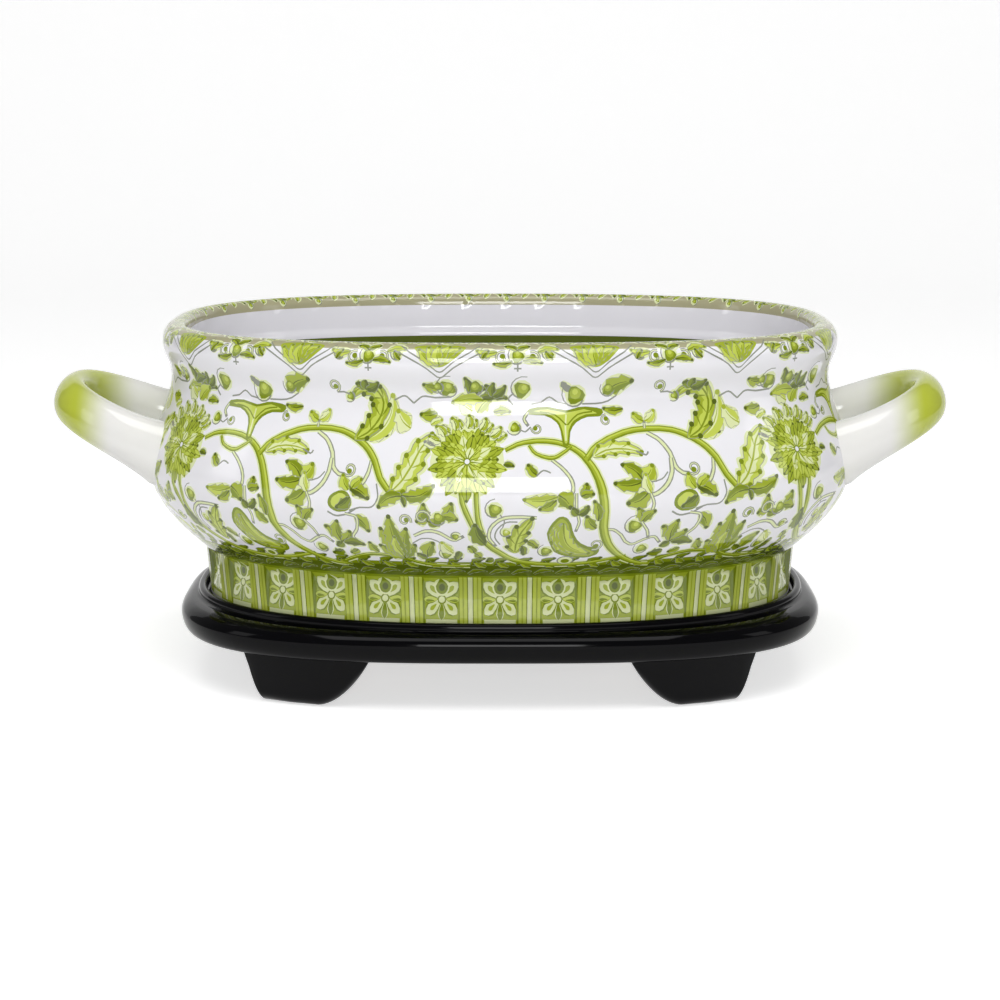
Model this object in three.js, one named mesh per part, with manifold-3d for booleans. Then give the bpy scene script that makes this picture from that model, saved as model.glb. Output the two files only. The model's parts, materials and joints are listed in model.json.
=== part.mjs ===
// Oval porcelain jardiniere with two loop handles, standing in a lacquered wooden stand.
// Units are millimetres and +Z is up. The origin is on the floor, under the middle of the stand.
// +X runs through the handles and -Y faces the front.
import * as THREE from 'three';
import Module from 'manifold-3d';

const wasm = await Module();
wasm.setup();

// ---------------------------------------------------------------- driving dimensions
// A plan is a rounded oval. "half" is its half-length along X, "narrower" is how much less its
// half-width along Y is, and "squareness" is the oval's exponent: 2 is an ellipse, more is boxier.

const SEAT_GAP = 0.3;                 // gap between pieces that touch on the real object

// stand
const FOOT_HEIGHT = 31;               // floor to the underside of the moulded frame
const FRAME_MARGIN = 5;               // frame's underside beyond the raised lip
const FRAME_BELLY_OUT = 4.3;          // how far the moulding swells past its underside
const FRAME_BELLY_HEIGHT = 10.5;      // height of the swell's widest line above the underside
const SEAT_HEIGHT = 48.7;             // floor to the flat seat under the basin
const SEAT_WIDTH = 28;                // from the lip in to the opening inside the frame
const PANEL_LEDGE = 8;                // width of the ledge that carries the floor panel
const PANEL_THICKNESS = 6;
const LIP_CLEARANCE = 2.4;            // play between the basin's foot and the raised lip
const LIP_WIDTH = 5;
const LIP_RISE = 5.6;                 // how far the lip stands above the seat
const LIP_FALL = 4.6;                 // lip crest down to the step outside it
const STAND_NARROWER = 66;
const STAND_SQUARENESS = 3;
const BATTEN_INSET = 2.5;              // middle of a batten inside the tip of a foot
const BATTEN_WIDTH = 28;
const BATTEN_THICKNESS = 9;
const TENON_LENGTH = 10;

// bracket feet, measured along X
const FOOT_END_INSET = 43;            // outer end of a foot from the end of the frame
const FOOT_SPAN = 75.5;               // outer end to the tip of the inner scroll
const FOOT_PAD_INSET = 8;             // flat on the floor from the foot's outer end
const FOOT_PAD_WIDTH = 35;
const FOOT_TIP = 1.2;                 // thin ends where a foot meets the frame
const FOOT_INSET = 3;                 // foot face behind the frame's lower edge
const FOOT_TAPER = 4;                 // how far the face leans in towards the floor
const FOOT_THICKNESS = 29;
const FOOT_EDGE_RADIUS = 7;         // rounding along the foot's lower edges
const BLOCK_WIDTH = 26;               // glue block behind each foot
const BLOCK_THICKNESS = 13;
const BLOCK_HEIGHT = 18;

// fastenings
const DOWEL_RADIUS = 4;
const DOWEL_LENGTH = 30;
const SCREW_SHANK_RADIUS = 2;
const SCREW_HEAD_RADIUS = 4.2;
const FOOT_SCREW_LENGTH = 34;
const BLOCK_SCREW_LENGTH = 24;
const FOOT_COUNTERBORE = 8;           // depth of the hole that hides a foot screw's head
const BLOCK_COUNTERBORE = 1;

// basin, with heights above its own foot
const BASIN_HEIGHT = 171;
const FOOT_RING_HALF = 183.6;
const FOOT_WAIST_HALF = 181.8;        // where the belly springs from the foot
const FOOT_WAIST_HEIGHT = 28;
const BELLY_HALF = 218.5;
const BELLY_HEIGHT = 84;
const NECK_HALF = 203.5;
const NECK_HEIGHT = 141;
const RIM_HALF = 208.2;
const RIM_FACE_HEIGHT = 160;          // widest line of the rolled rim
const RIM_CREST_HALF = 198.5;
const RIM_INNER_HALF = 194.5;
const WALL = 9.5;
const NECK_WALL = 12;                 // thicker where the neck turns in
const FLOOR_THICKNESS = 9;
const FOOT_RING_WIDTH = 9;            // unglazed ring that the basin stands on
const FOOT_RING_RECESS = 10;          // hollow inside the ring, up to the base
const BASIN_NARROWER = 66;
const FOOT_NARROWER = 62.5;
const FOOT_SQUARENESS = 2.4;
const BASIN_SQUARENESS = 2.6;

// handles
const HANDLE_ROOT_X = 205.3;          // middle of the tube at the wall
const HANDLE_ROOT_HEIGHT = 94;
const HANDLE_REACH = 69.5;             // along the loop's own slope
const HANDLE_HALF_SPREAD = 55;        // half the distance between the two roots
const HANDLE_TILT = THREE.MathUtils.degToRad(24);
const HANDLE_SQUARENESS = 2.3;
const HANDLE_HALF_DEPTH = 14;         // half the tube's size square to the loop
const HANDLE_HALF_THICKNESS = 9.5;    // half its size in the loop's own plane
const HANDLE_FLARE = 0.45;            // how much the tube swells at the wall
const HANDLE_FLARE_LENGTH = 18;

// facets
const BASIN_STEPS = 60;
const RAIL_STEPS = 18;
const HANDLE_STEPS = 26;
const HANDLE_SIDES = 14;
const FOOT_STEPS = 5;                 // steps along each stretch of a foot's outline
const ROUND_SIDES = 10;

// ---------------------------------------------------------------- worked-out sizes
const BASIN_FOOT_Z = SEAT_HEIGHT + SEAT_GAP;
const LIP_INNER_HALF = FOOT_RING_HALF + LIP_CLEARANCE;
const LIP_OUTER_HALF = LIP_INNER_HALF + LIP_WIDTH;
const FRAME_UNDERSIDE_HALF = LIP_OUTER_HALF + FRAME_MARGIN;
const FRAME_INNER_HALF = LIP_INNER_HALF - SEAT_WIDTH;
const FOOT_OUTER_X = FRAME_UNDERSIDE_HALF - FOOT_END_INSET;
const FOOT_INNER_X = FOOT_OUTER_X - FOOT_SPAN;
const FOOT_PAD_OUTER_X = FOOT_OUTER_X - FOOT_PAD_INSET;
const FOOT_PAD_INNER_X = FOOT_PAD_OUTER_X - FOOT_PAD_WIDTH;
const BATTEN_X = FOOT_INNER_X - BATTEN_INSET;
const LEDGE_HEIGHT = SEAT_HEIGHT - PANEL_THICKNESS - SEAT_GAP;
const PANEL_HALF = FRAME_INNER_HALF + PANEL_LEDGE;
const FRAME_WIDEST_HALF = FRAME_UNDERSIDE_HALF + FRAME_BELLY_OUT;
const STEP_HEIGHT = SEAT_HEIGHT + LIP_RISE - LIP_FALL;
const CORNER_ANGLES = [1, 3, 5, 7].map((eighth) => eighth * Math.PI / 4);

// ---------------------------------------------------------------- materials
const porcelain = { color: 0xe9ecea, roughness: 0.12, metalness: 0 };
const greenGlaze = { color: 0xc3cf5a, roughness: 0.14, metalness: 0 };
const lacquer = { color: 0x0b0b0f, roughness: 0.18, metalness: 0 };
const plywood = { color: 0x1a1613, roughness: 0.55, metalness: 0 };
const rawWood = { color: 0x8a6b47, roughness: 0.75, metalness: 0 };
const zincSteel = { color: 0xa9abad, roughness: 0.4, metalness: 0.9 };

// ---------------------------------------------------------------- plans and outlines
const basinPlan = { narrower: BASIN_NARROWER, squareness: BASIN_SQUARENESS };
const footPlan = { narrower: FOOT_NARROWER, squareness: FOOT_SQUARENESS };
const standPlan = { narrower: STAND_NARROWER, squareness: STAND_SQUARENESS };

function mixPlans(from, to, share) {
  return {
    narrower: THREE.MathUtils.lerp(from.narrower, to.narrower, share),
    squareness: THREE.MathUtils.lerp(from.squareness, to.squareness, share),
  };
}

// Point of a rounded oval at a polar-like angle, 0 at +X.
function planPoint(half, plan, angle) {
  const cos = Math.cos(angle);
  const sin = Math.sin(angle);
  const n = plan.squareness;
  const reach = (Math.abs(cos) ** n + Math.abs(sin) ** n) ** (-1 / n);
  return new THREE.Vector2(half * reach * cos, (half - plan.narrower) * reach * sin);
}

// Half-width of a rounded oval at a given x.
function planHalfWidth(half, plan, x) {
  const n = plan.squareness;
  return (half - plan.narrower) * (1 - (Math.abs(x) / half) ** n) ** (1 / n);
}

// Angles that divide the oval between two angles into stretches of equal length.
function evenAngles(half, plan, from, to, steps) {
  const fine = 40 * steps;
  const lengths = [0];
  for (let i = 1; i <= fine; i += 1) {
    const a = planPoint(half, plan, from + (to - from) * (i - 1) / fine);
    const b = planPoint(half, plan, from + (to - from) * i / fine);
    lengths.push(lengths[i - 1] + a.distanceTo(b));
  }
  const angles = [];
  let index = 0;
  for (let step = 0; step <= steps; step += 1) {
    const target = lengths[fine] * step / steps;
    while (index < fine - 1 && lengths[index + 1] < target) index += 1;
    const share = (target - lengths[index]) / (lengths[index + 1] - lengths[index]);
    angles.push(from + (to - from) * (index + share) / fine);
  }
  return angles;
}

// Points of a cubic curve, without its first one.
function bend(from, control1, control2, to, steps) {
  const curve = new THREE.CubicBezierCurve(
    new THREE.Vector2(...from), new THREE.Vector2(...control1),
    new THREE.Vector2(...control2), new THREE.Vector2(...to));
  return curve.getPoints(steps).slice(1);
}

// ---------------------------------------------------------------- solids
// Solid through equal sections, closed round each section and capped at both ends.
// capOutline is the end section drawn flat, which sets how the caps are filled.
function loft(sections, capOutline) {
  const count = sections[0].length;
  const positions = sections.flat().flatMap((p) => [p.x, p.y, p.z]);
  const triangles = [];
  for (let s = 0; s + 1 < sections.length; s += 1) {
    for (let i = 0; i < count; i += 1) {
      const a = s * count + i;
      const b = s * count + (i + 1) % count;
      triangles.push(a, b, b + count, a, b + count, a + count);
    }
  }
  const last = (sections.length - 1) * count;
  const clockwise = THREE.ShapeUtils.isClockWise(capOutline);
  for (const cap of THREE.ShapeUtils.triangulateShape(capOutline, [])) {
    const [i, j, k] = clockwise ? cap.reverse() : cap;
    triangles.push(i, k, j, last + i, last + j, last + k);
  }
  const geometry = new THREE.BufferGeometry();
  geometry.setAttribute('position', new THREE.Float32BufferAttribute(positions, 3));
  geometry.setIndex(triangles);
  return facingOut(geometry);
}

// Turns every face round when the mesh's volume comes out negative.
function facingOut(geometry) {
  const p = geometry.getAttribute('position');
  const index = geometry.getIndex();
  const a = new THREE.Vector3();
  const b = new THREE.Vector3();
  const c = new THREE.Vector3();
  let volume = 0;
  for (let i = 0; i < index.count; i += 3) {
    a.fromBufferAttribute(p, index.getX(i));
    b.fromBufferAttribute(p, index.getX(i + 1));
    c.fromBufferAttribute(p, index.getX(i + 2));
    volume += a.dot(b.cross(c));
  }
  if (volume < 0) {
    for (let i = 0; i < index.count; i += 3) {
      const kept = index.getX(i + 1);
      index.setX(i + 1, index.getX(i + 2));
      index.setX(i + 2, kept);
    }
  }
  return geometry;
}

// Merges equal corners of a three.js geometry, so that it is one closed surface.
function welded(geometry) {
  const p = geometry.getAttribute('position');
  const order = geometry.getIndex() ? Array.from(geometry.getIndex().array) : [...Array(p.count).keys()];
  const seen = new Map();
  const positions = [];
  const indexOf = (i) => {
    const key = [p.getX(i), p.getY(i), p.getZ(i)].map((v) => Math.round(v * 1e4)).join();
    if (!seen.has(key)) {
      seen.set(key, positions.length / 3);
      positions.push(p.getX(i), p.getY(i), p.getZ(i));
    }
    return seen.get(key);
  };
  const triangles = [];
  for (let i = 0; i < order.length; i += 3) {
    const [a, b, c] = [indexOf(order[i]), indexOf(order[i + 1]), indexOf(order[i + 2])];
    if (a !== b && b !== c && a !== c) triangles.push(a, b, c);
  }
  const merged = new THREE.BufferGeometry();
  merged.setAttribute('position', new THREE.Float32BufferAttribute(positions, 3));
  merged.setIndex(triangles);
  return merged;
}

function toSolid(geometry) {
  const vertProperties = new Float32Array(geometry.getAttribute('position').array);
  const triVerts = new Uint32Array(geometry.getIndex().array);
  return new wasm.Manifold(new wasm.Mesh({ numProp: 3, vertProperties, triVerts }));
}

function toGeometry(solid) {
  const mesh = solid.getMesh();
  const geometry = new THREE.BufferGeometry();
  geometry.setAttribute('position', new THREE.BufferAttribute(new Float32Array(mesh.vertProperties), 3));
  geometry.setIndex(new THREE.BufferAttribute(new Uint32Array(mesh.triVerts), 1));
  return geometry;
}

function cut(geometry, tools) {
  return toGeometry(tools.reduce((solid, tool) => solid.subtract(toSolid(tool)), toSolid(geometry)));
}

// Cylinder between two points.
function rod(from, to, radius) {
  const along = new THREE.Vector3().subVectors(to, from);
  const geometry = new THREE.CylinderGeometry(radius, radius, along.length(), ROUND_SIDES);
  const turn = new THREE.Quaternion().setFromUnitVectors(new THREE.Vector3(0, 1, 0), along.clone().normalize());
  geometry.applyQuaternion(turn);
  geometry.translate(...new THREE.Vector3().addVectors(from, to).multiplyScalar(0.5).toArray());
  return welded(geometry);
}

function box(width, depth, height, x, y, z) {
  const geometry = new THREE.BoxGeometry(width, depth, height);
  geometry.translate(x, y, z);
  return welded(geometry);
}

const group = new THREE.Group();

function addPiece(name, geometry, finish) {
  geometry.computeVertexNormals();
  const mesh = new THREE.Mesh(geometry, new THREE.MeshStandardMaterial(finish));
  mesh.name = name;
  group.add(mesh);
}

// ---------------------------------------------------------------- basin
// The plan changes from the foot's oval to the body's oval as the belly swells out.
function basinPlanAt(height) {
  const share = (height - FOOT_WAIST_HEIGHT) / (BELLY_HEIGHT - FOOT_WAIST_HEIGHT);
  return mixPlans(footPlan, basinPlan, THREE.MathUtils.smoothstep(share, 0, 1));
}

// Outside of the basin from the foot to the crest of the rim: x is half-length, y is height.
function basinOutline() {
  const spring = 0.285 * FOOT_WAIST_HEIGHT;
  const below = BELLY_HEIGHT - FOOT_WAIST_HEIGHT;
  const above = NECK_HEIGHT - BELLY_HEIGHT;
  const roll = RIM_FACE_HEIGHT - NECK_HEIGHT;
  const crown = BASIN_HEIGHT - RIM_FACE_HEIGHT;
  return [
    new THREE.Vector2(FOOT_RING_HALF, 0),
    ...bend([FOOT_RING_HALF, 0], [FOOT_RING_HALF, FOOT_WAIST_HEIGHT / 2],
      [FOOT_WAIST_HALF, FOOT_WAIST_HEIGHT / 2], [FOOT_WAIST_HALF, FOOT_WAIST_HEIGHT], 3),
    ...bend([FOOT_WAIST_HALF, FOOT_WAIST_HEIGHT], [FOOT_WAIST_HALF + spring, FOOT_WAIST_HEIGHT + spring],
      [BELLY_HALF, BELLY_HEIGHT - 0.464 * below], [BELLY_HALF, BELLY_HEIGHT], 7),
    ...bend([BELLY_HALF, BELLY_HEIGHT], [BELLY_HALF, BELLY_HEIGHT + 0.35 * above],
      [NECK_HALF, NECK_HEIGHT - above / 3], [NECK_HALF, NECK_HEIGHT], 6),
    ...bend([NECK_HALF, NECK_HEIGHT], [NECK_HALF, NECK_HEIGHT + 0.37 * roll],
      [RIM_HALF, RIM_FACE_HEIGHT - 0.42 * roll], [RIM_HALF, RIM_FACE_HEIGHT], 4),
    ...bend([RIM_HALF, RIM_FACE_HEIGHT], [RIM_HALF, BASIN_HEIGHT - 0.364 * crown],
      [RIM_CREST_HALF + 0.545 * crown, BASIN_HEIGHT], [RIM_CREST_HALF, BASIN_HEIGHT], 4),
  ];
}

// Inside of the basin from the crest of the rim down to the edge of its flat floor.
function basinInside() {
  const floorHeight = FOOT_RING_RECESS + FLOOR_THICKNESS;
  const crown = BASIN_HEIGHT - RIM_FACE_HEIGHT;
  const above = NECK_HEIGHT - BELLY_HEIGHT;
  const innerEdge = [RIM_INNER_HALF, BASIN_HEIGHT - 0.64 * crown];
  const innerDrop = innerEdge[1] - NECK_HEIGHT;
  const innerNeck = [NECK_HALF - NECK_WALL, NECK_HEIGHT];
  const tuck = RIM_INNER_HALF - innerNeck[0];
  const innerBelly = [BELLY_HALF - WALL, BELLY_HEIGHT];
  const floorEdge = [FOOT_WAIST_HALF - 3 * WALL, floorHeight];
  return [
    ...bend([RIM_CREST_HALF, BASIN_HEIGHT], [RIM_CREST_HALF - 0.364 * crown, BASIN_HEIGHT],
      [RIM_INNER_HALF, BASIN_HEIGHT - 0.27 * crown], innerEdge, 3),
    ...bend(innerEdge, [RIM_INNER_HALF - 0.3 * tuck, innerEdge[1] - 0.39 * innerDrop],
      [innerNeck[0], NECK_HEIGHT + innerDrop / 3], innerNeck, 3),
    ...bend(innerNeck, [innerNeck[0], NECK_HEIGHT - above / 3],
      [BELLY_HALF - WALL, BELLY_HEIGHT + 0.35 * above], innerBelly, 5),
    ...bend(innerBelly, [BELLY_HALF - WALL, BELLY_HEIGHT - 0.52 * (BELLY_HEIGHT - floorHeight)],
      [FOOT_WAIST_HALF, floorHeight], floorEdge, 5),
  ];
}

function basinRings(outline, extra = 0) {
  const angles = evenAngles(BELLY_HALF, basinPlan, 0, 2 * Math.PI, BASIN_STEPS).slice(0, -1);
  return outline.map((p) => angles.map((angle) => {
    const flat = planPoint(p.x + extra, basinPlanAt(p.y), angle);
    return new THREE.Vector3(flat.x, flat.y, BASIN_FOOT_Z + p.y);
  }));
}

function ringOutline(ring) {
  return ring.map((p) => new THREE.Vector2(p.x, p.y));
}

function makeBasin() {
  const ringInner = FOOT_RING_HALF - FOOT_RING_WIDTH;
  const underside = [
    new THREE.Vector2(ringInner - FOOT_RING_RECESS / 2, FOOT_RING_RECESS),
    new THREE.Vector2(ringInner, 0),
  ];
  const rings = basinRings([...underside, ...basinOutline(), ...basinInside()]);
  return loft(rings, ringOutline(rings[0]));
}

// The basin's filled outside, a little larger, for trimming what joins its wall.
function basinEnvelope() {
  const rings = basinRings(basinOutline(), SEAT_GAP);
  return loft(rings, ringOutline(rings[0]));
}

// ---------------------------------------------------------------- handles
// Middle line of the loop: out from the wall, round, and back, tilted up as it leaves the wall.
function handlePath(side) {
  const points = [];
  const place = (out, across) => new THREE.Vector3(
    side * (HANDLE_ROOT_X + out * Math.cos(HANDLE_TILT)), across,
    BASIN_FOOT_Z + HANDLE_ROOT_HEIGHT + out * Math.sin(HANDLE_TILT));
  const inside = 2 * WALL;
  points.push({ middle: place(-inside, -HANDLE_HALF_SPREAD), out: -inside });
  for (let i = 0; i <= HANDLE_STEPS; i += 1) {
    const turn = Math.PI * (i / HANDLE_STEPS - 0.5);
    const power = 2 / HANDLE_SQUARENESS;
    const out = HANDLE_REACH * Math.max(Math.cos(turn), 0) ** power;
    const across = Math.sign(turn) * HANDLE_HALF_SPREAD * Math.abs(Math.sin(turn)) ** power;
    points.push({ middle: place(out, across), out });
  }
  points.push({ middle: place(-inside, HANDLE_HALF_SPREAD), out: -inside });
  return points;
}

function makeHandle(side) {
  const path = handlePath(side);
  const loopNormal = new THREE.Vector3(-side * Math.sin(HANDLE_TILT), 0, Math.cos(HANDLE_TILT));
  const ellipse = [...Array(HANDLE_SIDES).keys()].map((i) => 2 * Math.PI * i / HANDLE_SIDES)
    .map((a) => new THREE.Vector2(HANDLE_HALF_DEPTH * Math.cos(a), HANDLE_HALF_THICKNESS * Math.sin(a)));
  const sections = path.map(({ middle, out }, i) => {
    const before = path[Math.max(i - 1, 0)].middle;
    const after = path[Math.min(i + 1, path.length - 1)].middle;
    const along = new THREE.Vector3().subVectors(after, before).normalize();
    const outward = new THREE.Vector3().crossVectors(along, loopNormal).normalize();
    const swell = 1 + HANDLE_FLARE * Math.exp(-Math.max(out, 0) / HANDLE_FLARE_LENGTH);
    return ellipse.map((p) => middle.clone()
      .addScaledVector(loopNormal, p.x * swell)
      .addScaledVector(outward, p.y * swell));
  });
  return cut(loft(sections, ellipse), [basinEnvelope()]);
}

// ---------------------------------------------------------------- stand frame
// Cross-section of the moulded frame, each point with the plan that it follows.
function frameSection() {
  const on = (plan) => (p) => ({ half: p.x, z: p.y, plan });
  const stepPlan = mixPlans(footPlan, standPlan, 0.35);
  const bellyHeight = FOOT_HEIGHT + FRAME_BELLY_HEIGHT;
  const rabbet = [
    new THREE.Vector2(FRAME_INNER_HALF, FOOT_HEIGHT),
    new THREE.Vector2(FRAME_INNER_HALF, LEDGE_HEIGHT),
    new THREE.Vector2(PANEL_HALF, LEDGE_HEIGHT),
    new THREE.Vector2(PANEL_HALF, SEAT_HEIGHT),
    new THREE.Vector2(LIP_INNER_HALF, SEAT_HEIGHT),
  ];
  const crest = SEAT_HEIGHT + LIP_RISE;
  const lipMiddle = [LIP_INNER_HALF + LIP_WIDTH / 2, crest];
  const lip = [
    ...bend([LIP_INNER_HALF, SEAT_HEIGHT + 3], [LIP_INNER_HALF, crest - 1],
      [LIP_INNER_HALF + 1, crest], lipMiddle, 3),
    ...bend(lipMiddle, [LIP_OUTER_HALF - 0.6, crest], [LIP_OUTER_HALF, crest - 1.4],
      [LIP_OUTER_HALF, STEP_HEIGHT + 0.8], 4),
  ];
  const step = [new THREE.Vector2(LIP_OUTER_HALF + 1, STEP_HEIGHT)];
  const swell = [
    ...bend([LIP_OUTER_HALF + 1.6, STEP_HEIGHT - 0.1], [FRAME_WIDEST_HALF - 3.5, STEP_HEIGHT - 1],
      [FRAME_WIDEST_HALF, bellyHeight + 4], [FRAME_WIDEST_HALF, bellyHeight], 5),
    ...bend([FRAME_WIDEST_HALF, bellyHeight], [FRAME_WIDEST_HALF, bellyHeight - 5],
      [FRAME_UNDERSIDE_HALF + 2, FOOT_HEIGHT], [FRAME_UNDERSIDE_HALF - 1, FOOT_HEIGHT], 5),
  ];
  return [
    ...rabbet.map(on(footPlan)), ...lip.map(on(footPlan)),
    ...step.map(on(stepPlan)), ...swell.map(on(standPlan)),
  ];
}

// One length of the frame between two of its four joints, with the joint gap left open.
function makeRail(fromAngle, toAngle) {
  const section = frameSection();
  const stride = 1e-3;
  const shy = (angle) => stride * SEAT_GAP / 2
    / planPoint(PANEL_HALF, footPlan, angle).distanceTo(planPoint(PANEL_HALF, footPlan, angle + stride));
  const angles = evenAngles(FRAME_WIDEST_HALF, standPlan,
    fromAngle + shy(fromAngle), toAngle - shy(toAngle), RAIL_STEPS);
  const sections = angles.map((angle) => section.map(({ half, z, plan }) => {
    const flat = planPoint(half, plan, angle);
    return new THREE.Vector3(flat.x, flat.y, z);
  }));
  return loft(sections, section.map(({ half, z }) => new THREE.Vector2(half, z)));
}

// Two dowels cross each joint of the frame, side by side at half the seat's height.
function dowelLines(angle) {
  const inner = planPoint(PANEL_HALF, footPlan, angle);
  const outer = planPoint(FRAME_UNDERSIDE_HALF, standPlan, angle);
  const across = new THREE.Vector2().subVectors(outer, inner);
  const along = new THREE.Vector3(-across.y, across.x, 0).normalize();
  return [0.3, 0.7].map((share) => {
    const flat = inner.clone().addScaledVector(across, share);
    const middle = new THREE.Vector3(flat.x, flat.y, (FOOT_HEIGHT + SEAT_HEIGHT) / 2);
    const end = (length) => middle.clone().addScaledVector(along, length);
    return { from: end(-DOWEL_LENGTH / 2), to: end(DOWEL_LENGTH / 2), middle, along };
  });
}

function dowelBore({ middle, along }) {
  const reach = DOWEL_LENGTH / 2 + SEAT_GAP;
  return rod(middle.clone().addScaledVector(along, -reach),
    middle.clone().addScaledVector(along, reach), DOWEL_RADIUS + SEAT_GAP);
}

function makePanel() {
  const half = PANEL_HALF - SEAT_GAP;
  const angles = evenAngles(half, footPlan, 0, 2 * Math.PI, BASIN_STEPS).slice(0, -1);
  const rings = [SEAT_HEIGHT - PANEL_THICKNESS, SEAT_HEIGHT].map((z) => angles.map((angle) => {
    const flat = planPoint(half, footPlan, angle);
    return new THREE.Vector3(flat.x, flat.y, z);
  }));
  return loft(rings, ringOutline(rings[0]));
}

// Cross batten with its two tenons, and the mortises that take them.
const BATTEN_HALF_LENGTH = planHalfWidth(FRAME_INNER_HALF, footPlan, BATTEN_X) + TENON_LENGTH;
const BATTEN_TOP = LEDGE_HEIGHT - SEAT_GAP;
const BATTEN_MIDDLE_Z = BATTEN_TOP - BATTEN_THICKNESS / 2;

function makeBatten(x) {
  const outline = new THREE.Shape();
  const half = BATTEN_WIDTH / 2;
  const easing = 1.5;                 // planed-off lower edges
  outline.moveTo(-half, BATTEN_TOP);
  outline.lineTo(half, BATTEN_TOP);
  outline.lineTo(half, BATTEN_TOP - BATTEN_THICKNESS + easing);
  outline.lineTo(half - easing, BATTEN_TOP - BATTEN_THICKNESS);
  outline.lineTo(-half + easing, BATTEN_TOP - BATTEN_THICKNESS);
  outline.lineTo(-half, BATTEN_TOP - BATTEN_THICKNESS + easing);
  const length = 2 * (BATTEN_HALF_LENGTH - SEAT_GAP);
  const geometry = new THREE.ExtrudeGeometry(outline, { depth: length, bevelEnabled: false });
  geometry.rotateX(Math.PI / 2);
  geometry.translate(x, length / 2, 0);
  return welded(geometry);
}

function mortise(x, front) {
  const depth = 2 * TENON_LENGTH;
  return box(BATTEN_WIDTH + 2 * SEAT_GAP, depth, BATTEN_THICKNESS + 2 * SEAT_GAP,
    x, front * (BATTEN_HALF_LENGTH - depth / 2), BATTEN_MIDDLE_Z);
}

// ---------------------------------------------------------------- bracket feet
// Underside of a foot seen from the front: x along the frame and the height of the lower edge.
function footOutline() {
  const top = FOOT_HEIGHT - FOOT_TIP;
  const scroll = FOOT_PAD_INNER_X - FOOT_INNER_X;
  return [
    new THREE.Vector2(FOOT_OUTER_X, top),
    ...bend([FOOT_OUTER_X, top], [FOOT_OUTER_X - 0.2 * FOOT_PAD_INSET, 0.6 * FOOT_HEIGHT],
      [FOOT_PAD_OUTER_X + 0.5 * FOOT_PAD_INSET, 0.05 * FOOT_HEIGHT], [FOOT_PAD_OUTER_X, 0], FOOT_STEPS),
    new THREE.Vector2((FOOT_PAD_OUTER_X + FOOT_PAD_INNER_X) / 2, 0),
    new THREE.Vector2(FOOT_PAD_INNER_X, 0),
    ...bend([FOOT_PAD_INNER_X, 0], [FOOT_PAD_INNER_X - scroll / 3, FOOT_HEIGHT / 30],
      [FOOT_INNER_X + 0.26 * scroll, 0.44 * FOOT_HEIGHT], [FOOT_INNER_X, top], FOOT_STEPS),
  ];
}

// Point behind the frame's front edge at a given x, "back" along the edge's own normal.
function behindEdge(x, back) {
  const half = FRAME_UNDERSIDE_HALF - FOOT_INSET;
  const y = planHalfWidth(half, standPlan, x);
  const n = standPlan.squareness;
  const normal = new THREE.Vector2((x / half) ** (n - 1) / half,
    (y / (half - STAND_NARROWER)) ** (n - 1) / (half - STAND_NARROWER)).normalize();
  return new THREE.Vector2(x - back * normal.x, -(y - back * normal.y));
}

// Piece that follows the frame's edge, drawn for the front right corner.
function underEdge(outline, top, nearBack, farBack, taper, radius) {
  const flatSection = (low) => {
    const high = top - SEAT_GAP;
    const round = Math.min(radius, (high - low) / 2);
    const face = (z) => nearBack + taper * (high - z) / FOOT_HEIGHT;
    const edge = (turn) => [face(low + round) + round * (1 - Math.cos(turn)), low + round * (1 - Math.sin(turn))];
    return [
      [nearBack, high], ...[0, 1, 2, 3].map((step) => edge(step * Math.PI / 6)),
      [farBack - radius / 4, low], [farBack, low + round / 4], [farBack, high],
    ];
  };
  const sections = outline.map(({ x, y }) => flatSection(y).map(([back, z]) => {
    const flat = behindEdge(x, back);
    return new THREE.Vector3(flat.x, flat.y, z);
  }));
  return loft(sections, flatSection(outline[0].y).map(([back, z]) => new THREE.Vector2(back, z)));
}

function makeFoot() {
  return underEdge(footOutline(), FOOT_HEIGHT, 0, FOOT_THICKNESS, FOOT_TAPER, FOOT_EDGE_RADIUS);
}

const PAD_MIDDLE_X = (FOOT_PAD_OUTER_X + FOOT_PAD_INNER_X) / 2;

function makeBlock() {
  const low = FOOT_HEIGHT - BLOCK_HEIGHT;
  const outline = [-1, 0, 1].map((share) => new THREE.Vector2(
    PAD_MIDDLE_X - share * BLOCK_WIDTH / 2, low));
  return underEdge(outline, FOOT_HEIGHT, FOOT_THICKNESS + SEAT_GAP,
    FOOT_THICKNESS + SEAT_GAP + BLOCK_THICKNESS, 0, 1.5);
}

// Countersunk wood screw, head down, with its head's face at z = 0.
function screwGeometry(length, oversize) {
  const shank = SCREW_SHANK_RADIUS + oversize;
  const head = SCREW_HEAD_RADIUS + oversize;
  const outline = [
    [0, 0], [head, 0], [head, 0.6 + oversize], [shank, SCREW_HEAD_RADIUS - 1 + oversize],
    [shank, length - 4 + oversize], [0, length + oversize],
  ];
  const geometry = new THREE.LatheGeometry(outline.map((p) => new THREE.Vector2(...p)), ROUND_SIDES);
  geometry.rotateX(Math.PI / 2);
  return facingOut(welded(geometry));
}

// Where each kind of screw goes up into the frame, at the front right corner.
const footScrew = {
  place: behindEdge(PAD_MIDDLE_X, FOOT_THICKNESS / 2), z: FOOT_COUNTERBORE, length: FOOT_SCREW_LENGTH,
};
const blockScrew = {
  place: behindEdge(PAD_MIDDLE_X, FOOT_THICKNESS + SEAT_GAP + BLOCK_THICKNESS / 2),
  z: FOOT_HEIGHT - BLOCK_HEIGHT + BLOCK_COUNTERBORE, length: BLOCK_SCREW_LENGTH,
};

function placedScrew({ place, z, length }) {
  return screwGeometry(length, 0).translate(place.x, place.y, z);
}

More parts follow.
